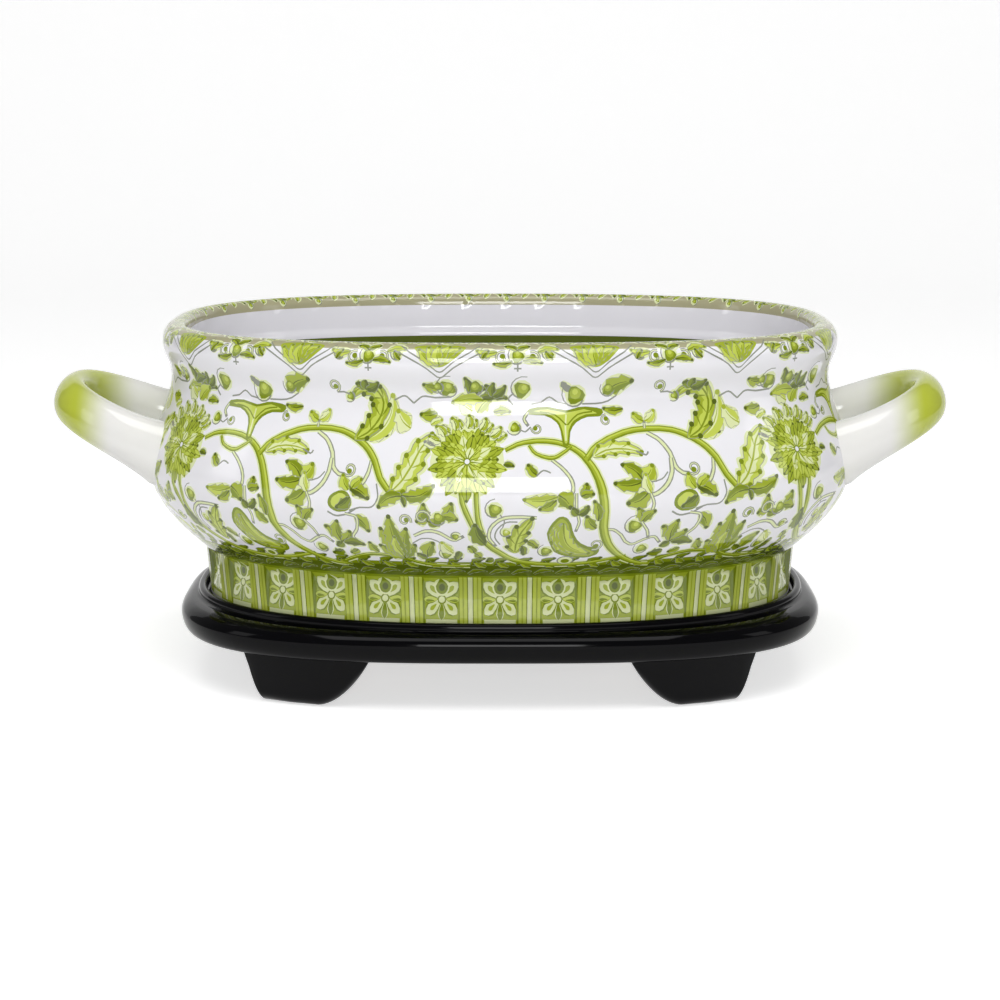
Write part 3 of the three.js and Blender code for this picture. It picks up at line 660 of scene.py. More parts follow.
class Brush:
    """Lays painted shapes on the unrolled wall, each over the ones before it.

    Across is the distance round the belly from the middle of the front, up is the distance along
    the wall's outline from its foot, both in mm.
    """

    fullness = 1.22           # how much wider a leaf is painted than it is sketched

    def __init__(self) -> None:
        """Starts with nothing painted."""
        self.shapes: list[tuple[np.ndarray, Glaze]] = []
        self.washes: list[tuple[np.ndarray, Glaze]] = []
        self.start = 0.0
        self.stretch = 1.0
        self.origin = 0.0
        self.soft = True

    def move_to(self, start: float, stretch: float = 1.0, origin: float = 0.0) -> None:
        """Sets where a motif drawn about its own origin goes, and how much it is stretched across."""
        self.start, self.stretch, self.origin = start, stretch, origin

    def lay(self, outline: np.ndarray | Sequence[Point], glaze: Glaze, first: bool = False) -> None:
        """Lays one flat shape, or keeps it as a wash that goes on before everything else."""
        shape = np.array(outline, float)
        shape[:, 0] = self.start + (shape[:, 0] - self.origin) * self.stretch
        (self.washes if first else self.shapes).append((shape, glaze))

    def vine(self, points: Sequence[Point], widths: Sequence[float], body: Glaze = LEAF) -> None:
        """Main stem: dark edges, a green body and a pale streak on its lit side."""
        path = smooth(points)
        width = np.interp(np.linspace(0, 1, len(path)), np.linspace(0, 1, len(widths)), widths)
        self.lay(ribbon(path, width + 2.6), PALE, first=True)
        self.lay(ribbon(path, width + 0.8), DARK)
        self.lay(ribbon(path, width * 0.74, width * 0.1), body)
        self.lay(ribbon(path[1:-1], width[1:-1] * 0.28, width[1:-1] * 0.22), BRIGHT)

    def area(self, points: Sequence[Point], glaze: Glaze) -> None:
        """Smooth closed shape through a few points."""
        self.lay(smooth(points, closed=True), glaze)

    def tendril(self, points: Sequence[Point], width: float) -> None:
        """Thin side stem: a pale band between two grey lines."""
        path = smooth(points)
        taper = width * (0.55 + 0.45 * np.sin(np.linspace(0.5, 2.6, len(path))))
        self.lay(ribbon(path, taper + 0.95), LINE)
        self.lay(ribbon(path[:-1], taper[:-1] * 0.75), PALE)

    def line(self, points: Sequence[Point], width: float = 0.8, glaze: Glaze = LINE) -> None:
        """Single stroke of the outlining brush."""
        self.lay(ribbon(smooth(points), width), glaze)

    def curl(self, middle: Point, radius: float, start: float, turns: float = 1.1,
             width: float = 1.0) -> None:
        """Curled end of a stem, wound in from its start angle in degrees, with a dark eye."""
        share = np.linspace(0, 1, max(9, int(12 * abs(turns))))
        angle = math.radians(start) + share * turns * 2 * math.pi
        path = middle + (radius * (1 - 0.72 * share))[:, None] * toward(angle)
        self.lay(ribbon(path, width + 0.7), LINE)
        self.lay(ribbon(path, width * 0.5), PALE)
        self.blob(path[-1], 0.28 * radius + 0.5, DARK)

    def blob(self, middle: Sequence[float], radius: float, glaze: Glaze, squash: float = 1.0,
             sides: int = 10, first: bool = False) -> None:
        """Round dab of the brush."""
        angle = np.linspace(0, 2 * math.pi, sides, endpoint=False)
        self.lay(np.column_stack([middle[0] + radius * np.cos(angle),
                                  middle[1] + radius * squash * np.sin(angle)]), glaze, first)

    def leaf(self, base: Point, tip: Point, width: float, body: Glaze = BRIGHT, lobes: int = 0,
             bow: float = 0.12, shade: Glaze | None = None) -> None:
        """Leaf with a soft wash round it, an outline, a shaded half and a vein.

        Args:
            base: Where it leaves its stem.
            tip: Its point.
            width: Greatest width, mm.
            body: Its main colour.
            lobes: Number of teeth along each edge, at least one every 6 mm.
            bow: How far its middle bends to the left, as a share of its length.
            shade: Colour of its shaded half, the next darker one when left out.
        """
        start, end = np.array(base, float), np.array(tip, float)
        length = float(np.linalg.norm(end - start))
        lobes = max(lobes, round(length / 6) if length > 7 else 0)
        count = max(7, math.ceil(length / 2.2)) + 2 * lobes
        share = np.linspace(0, 1, count)
        left = np.array([-(end - start)[1], (end - start)[0]])
        spine = start + share[:, None] * (end - start) + (bow * np.sin(math.pi * share))[:, None] * left
        half = 0.5 * self.fullness * width * np.sin(math.pi * share ** 0.8) ** 0.8
        plain = half
        if lobes:
            half = half * (1.22 - 0.56 * np.mod(lobes * share + 0.25, 1.0))
        inner = slice(1, count - 1)
        shade = shade or body.darker()
        if self.soft:
            self.lay(ribbon(spine[::2], 2 * plain[::2] + 2.8), PALE, first=True)
        self.lay(ribbon(spine, 2 * half + 0.8), LINE)
        self.lay(ribbon(spine, 2 * half), body)
        self.lay(ribbon(spine[inner], plain[inner] * 0.7, -plain[inner] * 0.55), shade)
        if length > 6:
            vein = spine[:max(3, int(0.8 * count))]
            self.lay(ribbon(vein, np.linspace(1.0, 0.3, len(vein))), shade.darker())
            self.blob(spine[-2], 0.12 * width + 0.5, shade.darker(), sides=7)

    def leaves(self, *rows: tuple) -> None:
        """Leaves in turn, each as its base's and tip's x and height, then what leaf() takes next."""
        for x, up, tip_x, tip_up, *rest in rows:
            self.leaf((x, up), (tip_x, tip_up), *rest)

    def bud(self, middle: Point, radius: float, lean: float = 90.0, body: Glaze = BRIGHT) -> None:
        """Curled knob of a leaf, lit on the side it leans to in degrees, with a thin hook round it."""
        turn = math.radians(lean)
        lit = toward(turn)
        centre = np.array(middle, float)
        self.blob(centre, radius + 1.4, PALE, first=True)
        sweep = turn + np.linspace(0.5, 4.0, 9)
        hook = centre + (radius * np.linspace(1.8, 1.0, 9))[:, None] * toward(sweep)
        self.lay(ribbon(hook, np.linspace(0.5, 1.2, 9)), LINE)
        angle = np.linspace(0, 2 * math.pi, 13)[:-1]
        lobed = radius * (1 + 0.16 * np.sin(3 * angle + turn))
        self.lay(centre + lobed[:, None] * toward(angle), body.darker().darker())
        self.blob(centre + 0.2 * radius * lit, 0.68 * radius, body.darker(), sides=8)
        self.blob(centre + 0.38 * radius * lit, 0.36 * radius, body, sides=7)

    def acanthus(self, points: Sequence[Point], width: float, lobes: int, body: Glaze = LEAF,
                 outer: float = 1.0, inner: float = 0.7) -> None:
        """Broad scrolling leaf with forward-pointing lobes along both edges.

        Args:
            points: Its spine from base to tip.
            width: Greatest width, mm.
            lobes: Number of lobes along an edge.
            body: Its main colour.
            outer: Share of the width on the left of the spine.
            inner: Share of the width on the right of the spine.
        """
        spine = smooth(points, 1.6)
        share = np.linspace(0, 1, len(spine))
        swell = 0.5 * width * np.sin(math.pi * share ** 0.75) ** 0.7
        tooth = np.mod(lobes * share, 1.0)
        ragged = 0.62 + 0.5 * tooth ** 0.8 * (1 - tooth ** 8)
        left = side_of(spine)

        def outline(scale: float, grow: float) -> np.ndarray:
            """Both edges of the leaf, scaled and then moved out by some mm."""
            far = spine + left * ((swell * ragged * outer * scale) + grow)[:, None]
            near = spine - left * ((swell * ragged * inner * scale) + grow)[:, None]
            return np.vstack([far, near[::-1]])

        self.lay(outline(1.15, 1.6), PALE, first=True)
        self.lay(outline(1.0, 0.5), LINE)
        self.lay(outline(1.0, 0.0), body)
        self.lay(outline(0.5, 0.0), PALE if body is BRIGHT else BRIGHT)
        for lobe in range(lobes):
            at = min(len(spine) - 2, int((lobe + 0.25) / lobes * len(spine)))
            ahead = min(len(spine) - 1, int((lobe + 0.82) / lobes * len(spine)))
            for side, reach in ((1, outer), (-1, -inner)):
                root = spine[at] + left[at] * 0.1 * swell[at] * side
                end = spine[ahead] + left[ahead] * reach * 0.8 * swell[ahead]
                if np.linalg.norm(end - root) > 1.5:
                    stroke = np.linspace(root, end, 5)
                    self.lay(ribbon(stroke, np.array([0.3, 0.8, 1.3, 1.2, 0.6]) * 0.07 * width ** 0.9),
                             body.darker())
                    knob = spine[ahead] + left[ahead] * reach * 0.86 * swell[ahead]
                    self.blob(knob, 0.07 * width + 0.5, body.darker().darker(), sides=8)
        self.lay(ribbon(spine[1:-2], 0.13 * swell[1:-2] + 0.2), body.darker())

    def petal(self, middle: Point, angle: float, near: float, far: float, width: float, body: Glaze,
              edge: Glaze = DARK, point: float = 0.0) -> None:
        """One petal of a flower between two distances from its middle, at an angle in radians."""
        along = toward(angle)
        share = np.array([0, 0.35, 0.65, 0.88, 1.0])
        plump = np.array([0.25, 0.8, 1.0, 0.68, 0.12]) + point * np.array([0, 0.15, -0.2, -0.28, 0])
        half = plump * width / 2
        spine = np.array(middle) + np.outer(near + (far - near) * share, along)
        for scale, glaze in ((1.14, edge), (0.86, body)):
            aside = np.outer(half * scale, [-along[1], along[0]])
            self.lay(np.vstack([spine + aside, (spine - aside)[::-1]]), glaze)

    def blossom(self, middle: Point, radius: float) -> None:
        """Large ragged lotus seen from in front, with a white eye and fine grey rays round it."""
        centre = np.array(middle, float)
        self.blob(middle, 1.02 * radius, PALE, sides=24, first=True)
        self.blob(middle, 0.82 * radius, LEAF, sides=24)
        for count, near, far, bodies in ((23, 0.55, 1.0, (LEAF, BRIGHT, LEAF)),
                                         (19, 0.42, 0.84, (BRIGHT, LEAF)),
                                         (15, 0.26, 0.68, (PALE, BRIGHT, LEAF)),
                                         (11, 0.1, 0.46, (PALE, BRIGHT))):
            for number in range(count):
                angle = 2 * math.pi * (number + 0.5 * (count % 2)) / count + math.pi / 2
                reach = far * (1 + 0.13 * math.sin(2.6 * number + count))
                width = 2 * math.pi * far * radius / count * 1.04
                body = bodies[number % len(bodies)]
                deep = body.darker().darker()
                self.petal(middle, angle, near * radius, reach * radius, width, body, body.darker(), 1.0)
                vein = np.outer(np.array([near + 0.1, 0.92 * reach]) * radius, toward(angle))
                self.lay(ribbon(centre + vein, np.array([0.9, 0.3])), deep)
                self.blob(centre + 0.95 * reach * radius * toward(angle), 0.45 + 0.25 * (number % 3),
                          deep, sides=6)
        for ray in range(13):
            turn = 2 * math.pi * (ray + 0.5) / 13 + math.pi / 2
            stroke = np.outer(np.array([0.05, 0.34 + 0.14 * (ray % 2)]) * radius, toward(turn))
            self.lay(ribbon(centre + stroke, np.array([0.9, 0.2])), DARK)
        self.blob(middle, 0.1 * radius, DARK)
        self.blob(middle, 0.07 * radius, WHITE)

    def sprig(self, base: Point, tips: Sequence[Point], width: float, body: Glaze = BRIGHT) -> None:
        """A few leaves from one base."""
        for number, tip in enumerate(tips):
            self.leaf(base, tip, width, body, bow=0.12 if number % 2 else -0.12)


@dataclass
class ScrollBand:
    """Lotus and vine scroll that runs round the belly, drawn once and repeated six times."""

    repeat: float = 205.4
    flower: Point = (-19.0, 119.0)
    flower_radius: float = 21.0

    def paint(self, brush: Brush) -> None:
        """Paints one repeat, from one flower to just before the next."""
        self.stems(brush)
        self.arch_leaves(brush)
        self.middle_leaves(brush)
        self.low_leaves(brush)
        self.fringe(brush)
        brush.blossom(self.flower, self.flower_radius)
        for number, angle in enumerate(np.linspace(38, 142, 11)):
            ray = toward(math.radians(angle))
            foot = self.flower + (20, 19) * ray
            tip = self.flower + (30, 25 + 2.5 * (number % 2)) * ray
            brush.leaf(foot, tip, 4.2, PALE, bow=0.12 * (-1) ** number, shade=LEAF)
        brush.leaves((2, 117, 8.5, 116, 2.6, DARK), (-38, 128, -45, 131, 3.2, PALE, 0, 0.12, LINE))

    def stems(self, brush: Brush) -> None:
        """The vines that carry the rest."""
        brush.tendril([(88, 135), (95, 130.5), (100, 123), (102, 115), (106, 111), (110, 110.5)], 2.2)
        brush.curl((112.8, 113.8), 4.2, 230)
        brush.tendril([(100, 120), (99.5, 112), (96, 105), (90, 100), (85, 99)], 2.2)
        brush.line([(97, 112), (93, 108), (86, 106.5), (82, 109)])
        brush.tendril([(126, 119), (124.5, 111), (120.5, 105), (114, 103)], 1.8)
        brush.line([(130.5, 106), (131.5, 98), (127.5, 92.5), (120, 92), (113, 90)], 0.9)
        brush.tendril([(30, 120), (36, 115), (41, 108), (41, 101), (35, 98)], 1.6)
        brush.tendril([(60, 77.5), (66, 78), (71.5, 74), (75, 69), (80, 66.5), (86, 70), (92, 72),
                       (97, 67)], 1.4)
        brush.tendril([(152, 74), (160, 77.5), (168, 76.5), (177, 71), (184, 74)], 1.8)
        brush.line([(150, 68), (157, 72), (165, 71), (173, 65)], 0.9)
        brush.vine([(142, 55), (152, 50.5), (165, 48), (186, 47.5)], [2.2, 2.0, 1.6], DARK)
        brush.vine([(96, 49.5), (107, 54.5), (120, 58), (133, 57), (142, 55)], [1.8, 2.2, 2.2, 2.0],
                   DARK)
        brush.vine([(-13.5, 106), (-13.5, 96), (-12.7, 85), (-10, 74)], [2.0, 2.2, 2.6])
        brush.vine([(-22.5, 106), (-21.5, 96), (-18, 86), (-14, 77), (-8, 68), (0, 60), (9, 53.5), (22, 50),
                    (38, 49), (54, 50), (67, 53), (79, 56.5)], [2.2, 2.4, 3.4, 3.4, 2.8, 2.4, 1.8])
        brush.leaf((-8.5, 67), (-14.5, 83), 7.5, DARK)
        brush.vine([(3, 125.5), (12, 129.5), (24, 131), (36, 129.5), (46, 124.5), (53, 116), (57.5, 105),
                    (59.5, 92), (60, 80), (64, 69), (71, 60), (80, 53), (90, 48.5), (98, 47.5)],
                   [1.6, 2.2, 2.6, 3.6, 4.4, 4.6, 4.0, 3.2, 2.0])
        brush.vine([(17, 128.5), (21, 123.5), (30, 121), (37, 124), (42, 128)], [1.0, 1.7, 1.0])
        brush.vine([(50, 120), (56, 127), (66, 132.5), (78, 136.3), (92, 137.3), (104, 136), (114, 132),
                    (122, 126.5), (128, 119), (132.5, 109), (139, 101)],
                   [2.8, 3.0, 2.8, 2.6, 3.2, 3.4, 2.8])

    def arch_leaves(self, brush: Brush) -> None:
        """Leaves above the arches."""
        brush.leaves((120, 131, 135, 133.5, 4, DARK), (121, 131, 136, 158, 10, PALE, 0, -0.18))
        brush.acanthus([(113, 131), (122, 136), (128.5, 145), (129.5, 154), (123, 161), (114, 160.5),
                        (107, 155)], 17, 6, inner=0.55)
        brush.bud((107.5, 156), 2.2, 200)
        brush.area([(37, 128.5), (40.8, 128.5), (42, 136), (46, 141.5), (53, 144.5), (61, 145), (62, 149),
                    (50, 150.5), (40, 148.5), (29, 150.5), (18, 149.5), (16.5, 146), (27, 145.5),
                    (34, 141.5), (36.5, 135)], DARK)
        brush.area([(38.2, 130), (39.8, 130), (41, 137), (44.5, 142.5), (52, 146), (59, 146.5), (51, 149),
                    (40, 147), (29, 149), (20, 148), (28, 146.8), (35, 142.5), (37.6, 136)], BRIGHT)
        brush.line([(39, 131), (39.2, 139), (40, 146)], 1.0, PALE)
        brush.line([(39.8, 140), (33, 146), (24, 147.5)], 0.9, DARK)
        brush.line([(40.5, 140), (47, 146), (56, 147.6)], 0.9, DARK)
        brush.tendril([(17, 147.5), (14.5, 143.5), (17, 139.5)], 1.2)
        brush.curl((22, 138.2), 3.4, 180, 1.0, 0.7)
        brush.bud((9, 138.6), 2.8, 170)
        brush.line([(12, 137.6), (15, 136.2), (18.5, 139)])
        brush.tendril([(87, 137.5), (87.3, 142)], 1.0)
        brush.leaves((87, 141.5, 80.5, 147, 4.4), (87.6, 141.5, 94, 148.5, 4.4, PALE, 0, -0.15))
        brush.curl((64, 142.5), 3.4, 90, 1.0, 0.7)
        brush.leaves((75, 149, 62, 149.8, 3.4, LEAF), (-4, 147.3, 7, 147.2, 3.2, LEAF))
        brush.acanthus([(54, 121.5), (62, 125.2), (70, 126), (78, 125), (84, 122.5)], 11, 4, BRIGHT)
        brush.line([(80, 124.4), (85.5, 122), (87, 124)], 1.0)
        brush.leaves((149, 138, 139.5, 149, 9, PALE, 3), (166, 147, 154, 146.5, 5, LEAF, 2),
                     (162, 140, 170, 143, 3.4, PALE))

    def middle_leaves(self, brush: Brush) -> None:
        """Leaves and buds at the height of the flowers."""
        brush.acanthus([(139, 101), (146, 107.5), (152, 117), (157, 127), (165, 135)], 17, 5, BRIGHT,
                       outer=0.9, inner=0.9)
        brush.leaves((147, 99, 131, 91.5, 6.4, LEAF, 2, -0.15), (146, 99.5, 167, 106, 6.4, LEAF, 3, -0.15),
                     (146, 99, 148, 92.5, 2.6, DARK))
        brush.sprig((82.5, 107), [(69.5, 117), (64.5, 106.5)], 6, LEAF)
        brush.leaves((82, 108, 88.5, 117, 7.2, BRIGHT, 0, -0.1), (85, 101, 71.5, 94.5, 7.4, LEAF, 2, 0.15),
                     (86.5, 100, 84, 112, 4.6, PALE))
        brush.tendril([(86, 100), (88, 94), (86.5, 87)], 1.2)
        brush.leaves((113, 104, 126, 96.5, 7, LEAF, 0, 0.12, SHADE), (115, 103, 122, 108.5, 4.6),
                     (113, 102, 109, 111.5, 5))
        brush.area([(112.5, 100.5), (107, 101.5), (101, 98), (100, 92.5), (105, 89), (112, 90),
                    (115, 95)], DARK)
        brush.area([(111, 99), (107, 100), (102.5, 97), (102, 93), (106, 90.5), (111, 91.5),
                    (113, 95)], BRIGHT)
        brush.leaf((114, 98), (104, 91.5), 5, DARK)
        brush.line([(99, 89), (104, 86.5), (111, 87.5), (117, 91)], 1.1)
        brush.leaves((33, 99, 12.5, 97.6, 5.4, BRIGHT, 0, 0.1), (32, 97, 21.5, 91.5, 4.2, LEAF),
                     (33, 100, 40.5, 91.5, 8, LEAF), (21.5, 111, 16, 118, 4.4, LEAF))
        brush.line([(21, 111), (25, 114), (29, 112.5)], 0.9)
        brush.tendril([(43.5, 101), (43.5, 92), (45.5, 84), (44, 77)], 1.1)
        brush.sprig((46, 99), [(49.5, 107), (54, 100)], 4.4, LEAF)
        brush.sprig((45, 88), [(50.5, 94), (41.5, 93)], 4, DARK)
        brush.leaves((56, 79, 49.5, 88, 5, LEAF), (56.5, 84, 53, 97, 4.2, LEAF, 0, -0.1))
        brush.bud((-3, 91), 3.8, 60)
        brush.line([(0, 88.5), (2.5, 84.5), (1.5, 80)])
        brush.sprig((-33, 87), [(-27.5, 96), (-24, 84.5)], 5, LEAF)
        brush.bud((-35, 86), 3.4, 110)
        brush.curl((-44.5, 86.5), 4.6, 10)

    def low_leaves(self, brush: Brush) -> None:
        """Leaves along the foot of the belly."""
        brush.tendril([(21, 86.5), (11, 87), (1.5, 86), (-5, 80.5), (-6.5, 73), (-2.5, 66)], 1.7)
        brush.line([(10, 83.8), (3.5, 83.5), (-1.5, 79), (-3, 73), (0, 67.5)], 0.9)
        brush.acanthus([(9, 60), (9.5, 68), (12, 76), (18.5, 86)], 15, 4, LEAF, outer=0.9, inner=0.8)
        brush.bud((3.6, 76.5), 2.3, 90, PALE)
        brush.leaves((13, 66, 14, 58, 4, DARK), (16, 70, 22.5, 64, 4.2, LEAF))
        brush.bud((28, 61.5), 3.4, 80)
        brush.area([(34, 87), (30, 83), (27.3, 76), (29.5, 69), (32.5, 62), (38, 58), (46, 56),
                    (54, 55.5), (60, 58.5), (60, 64), (53, 65.5), (47, 69.5), (43, 76), (41, 82.5),
                    (38, 86.5)], DARK)
        brush.area([(34.5, 85.5), (31, 81.5), (28.8, 76), (31, 69), (34, 63), (39, 59.5), (46, 57.5),
                    (54, 57), (58, 60), (52, 63.5), (46, 67.5), (41.5, 75), (39.5, 82),
                    (37, 85)], LEAF)
        for tip, bend in (((30, 68), 0.0), ((35, 60.5), -0.05), ((44.5, 58), -0.15), ((56, 59), -0.22)):
            brush.leaf((36.5, 83), tip, 6.4, bow=bend)
        brush.blob((41, 53.2), 5.4, LINE, 0.75, 16)
        brush.blob((41, 53), 4.6, PALE, 0.72, 16)
        brush.blob((41, 52.5), 2.8, DARK, 0.75)
        brush.curl((57.5, 67), 4.6, 250)
        brush.bud((78.2, 80), 4.0, 60)
        brush.sprig((82, 82.5), [(78.5, 92), (90, 90)], 4.6, LEAF)
        brush.tendril([(82, 83), (86.5, 77), (88.5, 71)], 1.2)
        brush.sprig((103, 68), [(94.5, 80), (104.5, 84), (111, 77)], 6, LEAF)
        brush.leaves((103, 68, 97.5, 64, 4.4, DARK), (116, 87, 123.5, 75.5, 5.6, LEAF))
        brush.tendril([(110, 88), (117, 86), (116, 78), (112, 72), (117, 66)], 1.3)
        brush.bud((87, 62.5), 3.2, 120)
        brush.leaves((101, 61, 92, 57.5, 5.4, DARK), (104, 67, 118.5, 65.5, 5, DARK),
                     (112, 62, 105, 58.5, 4.2, LEAF), (126, 60, 121.5, 69, 4.6, LEAF))
        for tip, width in (((127.5, 67), 7), ((152.5, 67.5), 7), ((131, 80), 8), ((148, 80), 8),
                           ((137.5, 88), 9)):
            brush.leaf((142.5, 55), tip, width, LEAF, lobes=2, bow=0.05)
        brush.leaf((142, 57), (139.5, 74), 4.5)
        brush.curl((147.5, 84.5), 4.2, 340)
        brush.sprig((162, 84), [(154, 83.5), (160, 95.5), (170.5, 84)], 5.2, LEAF)
        brush.leaves((158, 56, 164.5, 69.5, 7.4, LEAF, 2), (158, 56, 151.5, 60, 4.4, DARK))
        brush.bud((171, 58.5), 3.2, 60)
        brush.leaf((176, 60), (169, 70), 6, PALE)
        brush.bud((178.5, 73.5), 2.2, 0)
        brush.leaf((180, 62), (176, 54), 4.4, DARK)
        brush.sprig((190, 60), [(186, 66), (194, 55)], 4.6, LEAF)
        brush.leaf((202, 56), (197, 52), 4, DARK)

    def fringe(self, brush: Brush) -> None:
        """Buds and small leaves along the top of the belly, under the neck."""
        brush.line([(19, 152), (25, 153), (30, 156), (35, 153), (41, 152)], 0.9)
        brush.line([(50, 152), (60, 152.2), (66, 153.5), (71, 156.5)], 0.9)
        brush.line([(137, 154), (144, 156.5), (150, 152.4)], 1.0)
        brush.line([(150, 152.4), (156, 156.3), (164, 155.6), (175, 156)], 1.0)
        brush.leaf((43.5, 160), (37, 165.5), 3.4, LINE)
        brush.bud((46, 157), 5.2, 100)
        brush.leaf((63, 157.5), (81, 165.5), 9, LEAF, lobes=3)
        brush.bud((66, 160.5), 3.2, 120)
        brush.line([(8, 158), (5, 155), (8, 151.5)], 1.0)
        brush.bud((13.2, 160.5), 4.8, 40)
        brush.leaf((-13, 155), (5, 155), 4.6, DARK)
        brush.sprig((-4.5, 156), [(-9.5, 163.5), (-3.5, 165), (3.5, 163.5)], 4, DARK)
        brush.bud((-14.5, 162), 3.6, 150)
        brush.line([(-12.5, 159), (-15, 156.4), (-23, 156)], 1.0)
        brush.leaf((-10, 154.2), (-30, 152.4), 5.2, bow=-0.08)
        brush.bud((-32.5, 161.5), 4.4, 40)
        brush.bud((-37.5, 162.3), 2.6, 180)
        brush.curl((97, 162), 4.2, 290)
        brush.line([(98.5, 158), (103, 158.2), (107, 157)], 1.0)
        brush.sprig((118, 160), [(111.5, 163.5), (119.5, 166), (127.5, 165)], 4.6, DARK)
        brush.leaf((167, 161.5), (156, 164), 4.6, LEAF)
        brush.bud((175, 160.5), 2.8, 180)
        brush.sprig((187, 157), [(183.5, 168.5), (199, 161)], 4.4, DARK)
        brush.leaves((189, 148, 181, 156, 6.4, PALE, 2), (192, 147, 202, 155.5, 7.4, BRIGHT, 2))


@dataclass
class Borders:
    """Lambrequin under the rim, leaves on the rolled rim, and pilasters with flowers on the foot."""

    lip_start: float = 184.5
    lip_end: float = 203.0
    foot_start: float = 3.0
    fillet_start: float = 33.6        # dark line over the panels
    fillet_end: float = 36.4
    foot_end: float = 45.0
    pilaster_half: float = 8.6
    panels: int = 30
    leaf_pairs: int = 84

    def washes(self) -> list[tuple[float, float, Glaze]]:
        """Bands of wash right round the basin that the borders are painted over: low, high, colour."""
        return [
            (self.foot_start, self.fillet_start, LEAF),
            (self.fillet_start, self.fillet_end, DARK),
            # from the fillet up to the belly's underside: partly a green band, partly painted shade under
            # the belly's overhang and a painted reflection of the dark stand
            (self.fillet_end, self.foot_end + 3, SHADE),
            (self.foot_end + 3, self.foot_end + 6.5, DARK),
            (self.lip_start, self.lip_end, KHAKI),
        ]

    def shade_band_leaves(self, brush: Brush) -> None:
        """One pair of leaves, about its own middle, on the dark band over the foot, which is partly painted
        shade.
        """
        brush.leaf((-7, 38.2), (6.5, 41.4), 2.6, DARK, bow=0.2)
        brush.leaf((-4, 48), (6, 55.5), 4.2, DARK)
        brush.leaf((6, 46.5), (-2, 52.5), 3.4, LEAF)

    def pendant(self, brush: Brush) -> None:
        """Pointed lappet with a lotus in it, about its own middle."""
        for drop in (0.0, 3.4):
            half = [(27 - drop, 184 + drop), (18, 179.5 + drop), (8, 173.8 + drop), (0, 168 + drop)]
            brush.line(half + [(-x, up) for x, up in half[-2::-1]], 0.85)
        brush.area([(0, 174.2), (6, 176.8), (11, 181), (15, 186.5), (0, 188.5), (-15, 186.5), (-11, 181),
                    (-6, 176.8)], LEAF)
        for tip, width in (((-13, 185.5), 4), ((13, 185.5), 4), ((-7, 187.5), 4.4), ((7, 187.5), 4.4),
                           ((0, 188), 4.8)):
            brush.leaf((0, 175.5), tip, width)

    def cluster(self, brush: Brush) -> None:
        """Small scrolls between two lappets."""
        brush.curl((-9.5, 179.5), 4.2, 60, 1.0)
        brush.curl((9.5, 179.5), 4.2, 120, -1.0)
        brush.bud((0, 180.5), 3.6)
        brush.leaf((-3, 178), (-15, 176.5), 2.6, LEAF)
        brush.leaf((3, 178), (15, 176.5), 2.6, LEAF)
        for side in (-1, 1):
            brush.bud((side * 18.5, 181.5), 2.6)
            brush.leaf((side * 12, 183), (side * 25, 184.5), 3.4)
            brush.leaf((side * 21, 178.5), (side * 16.5, 184), 2.4, LEAF)
        brush.line([(0, 177), (0, 171.8)], 1.0)
        brush.line([(-2.2, 173.6), (2.2, 173.6)], 0.9)
        brush.sprig((0, 184), [(-8, 187), (8, 187)], 3.2, LEAF)

    def lip_leaf(self, brush: Brush) -> None:
        """Curled leaves on the rolled rim."""
        brush.line([(-15.4, 193), (-8, 196.5), (0, 193), (8, 189.5), (15.4, 193)], 1.0, LEAF)
        brush.leaf((-8, 196), (-1, 189.5), 3.6, LEAF, bow=0.2)
        brush.leaf((8, 190), (1, 197.5), 3.6, LEAF, bow=0.2)
        brush.leaf((-11, 196), (-15, 189.5), 2.8)
        brush.leaf((11, 190), (14.5, 198), 2.8)
        brush.bud((-4, 198), 1.7, 60)

    def pilaster(self, brush: Brush) -> None:
        """Upright striped bar on the foot, about its own middle."""
        low, high = self.foot_start + 1.0, self.foot_end - 10.5
        for half, glaze in ((self.pilaster_half, DARK), (7.6, BRIGHT), (5.4, LEAF),
                            (4.6, BRIGHT), (2.3, DARK), (1.6, PALE)):
            brush.lay([(-half, low), (half, low), (half, high), (-half, high)], glaze)

    def panel(self, brush: Brush) -> None:
        """Four-lobed flower between two pilasters, about its own middle."""
        brush.lay([(-11, self.foot_start), (11, self.foot_start), (11, 6.2), (-11, 6.2)], PALE)
        for angle, far, width in ((42, 15, 9), (-40, 14, 8)):
            for turn in (math.radians(angle), math.radians(180 - angle)):
                brush.petal((0, 18.5), turn, 1.5, far, width, PALE)
                brush.petal((0, 18.5), turn, 5, far - 3.5, width * 0.3, LEAF, LEAF)
        for turn in (0, math.pi):
            brush.petal((0, 18), turn, 3.5, 12.5, 4.6, BRIGHT)
            brush.petal((0, 17.4), turn, 5.5, 11.5, 1.6, DARK)
        brush.blob((0, 18), 3.2, DARK, 0.9)
        brush.blob((0, 18), 2.2, PALE, 0.9)
        brush.blob((0, 26.2), 5.6, PALE, 1.1, 14)
        brush.area([(0, 33.5), (-2.2, 29.5), (-4.4, 26), (-3, 22.3), (0, 21.2), (3, 22.3), (4.4, 26),
                    (2.2, 29.5)], DARK)
        brush.blob((0, 25.2), 2.2, SHADE)
        brush.petal((0, 15.5), -math.pi / 2, 0, 9.5, 4.6, DARK, PALE)


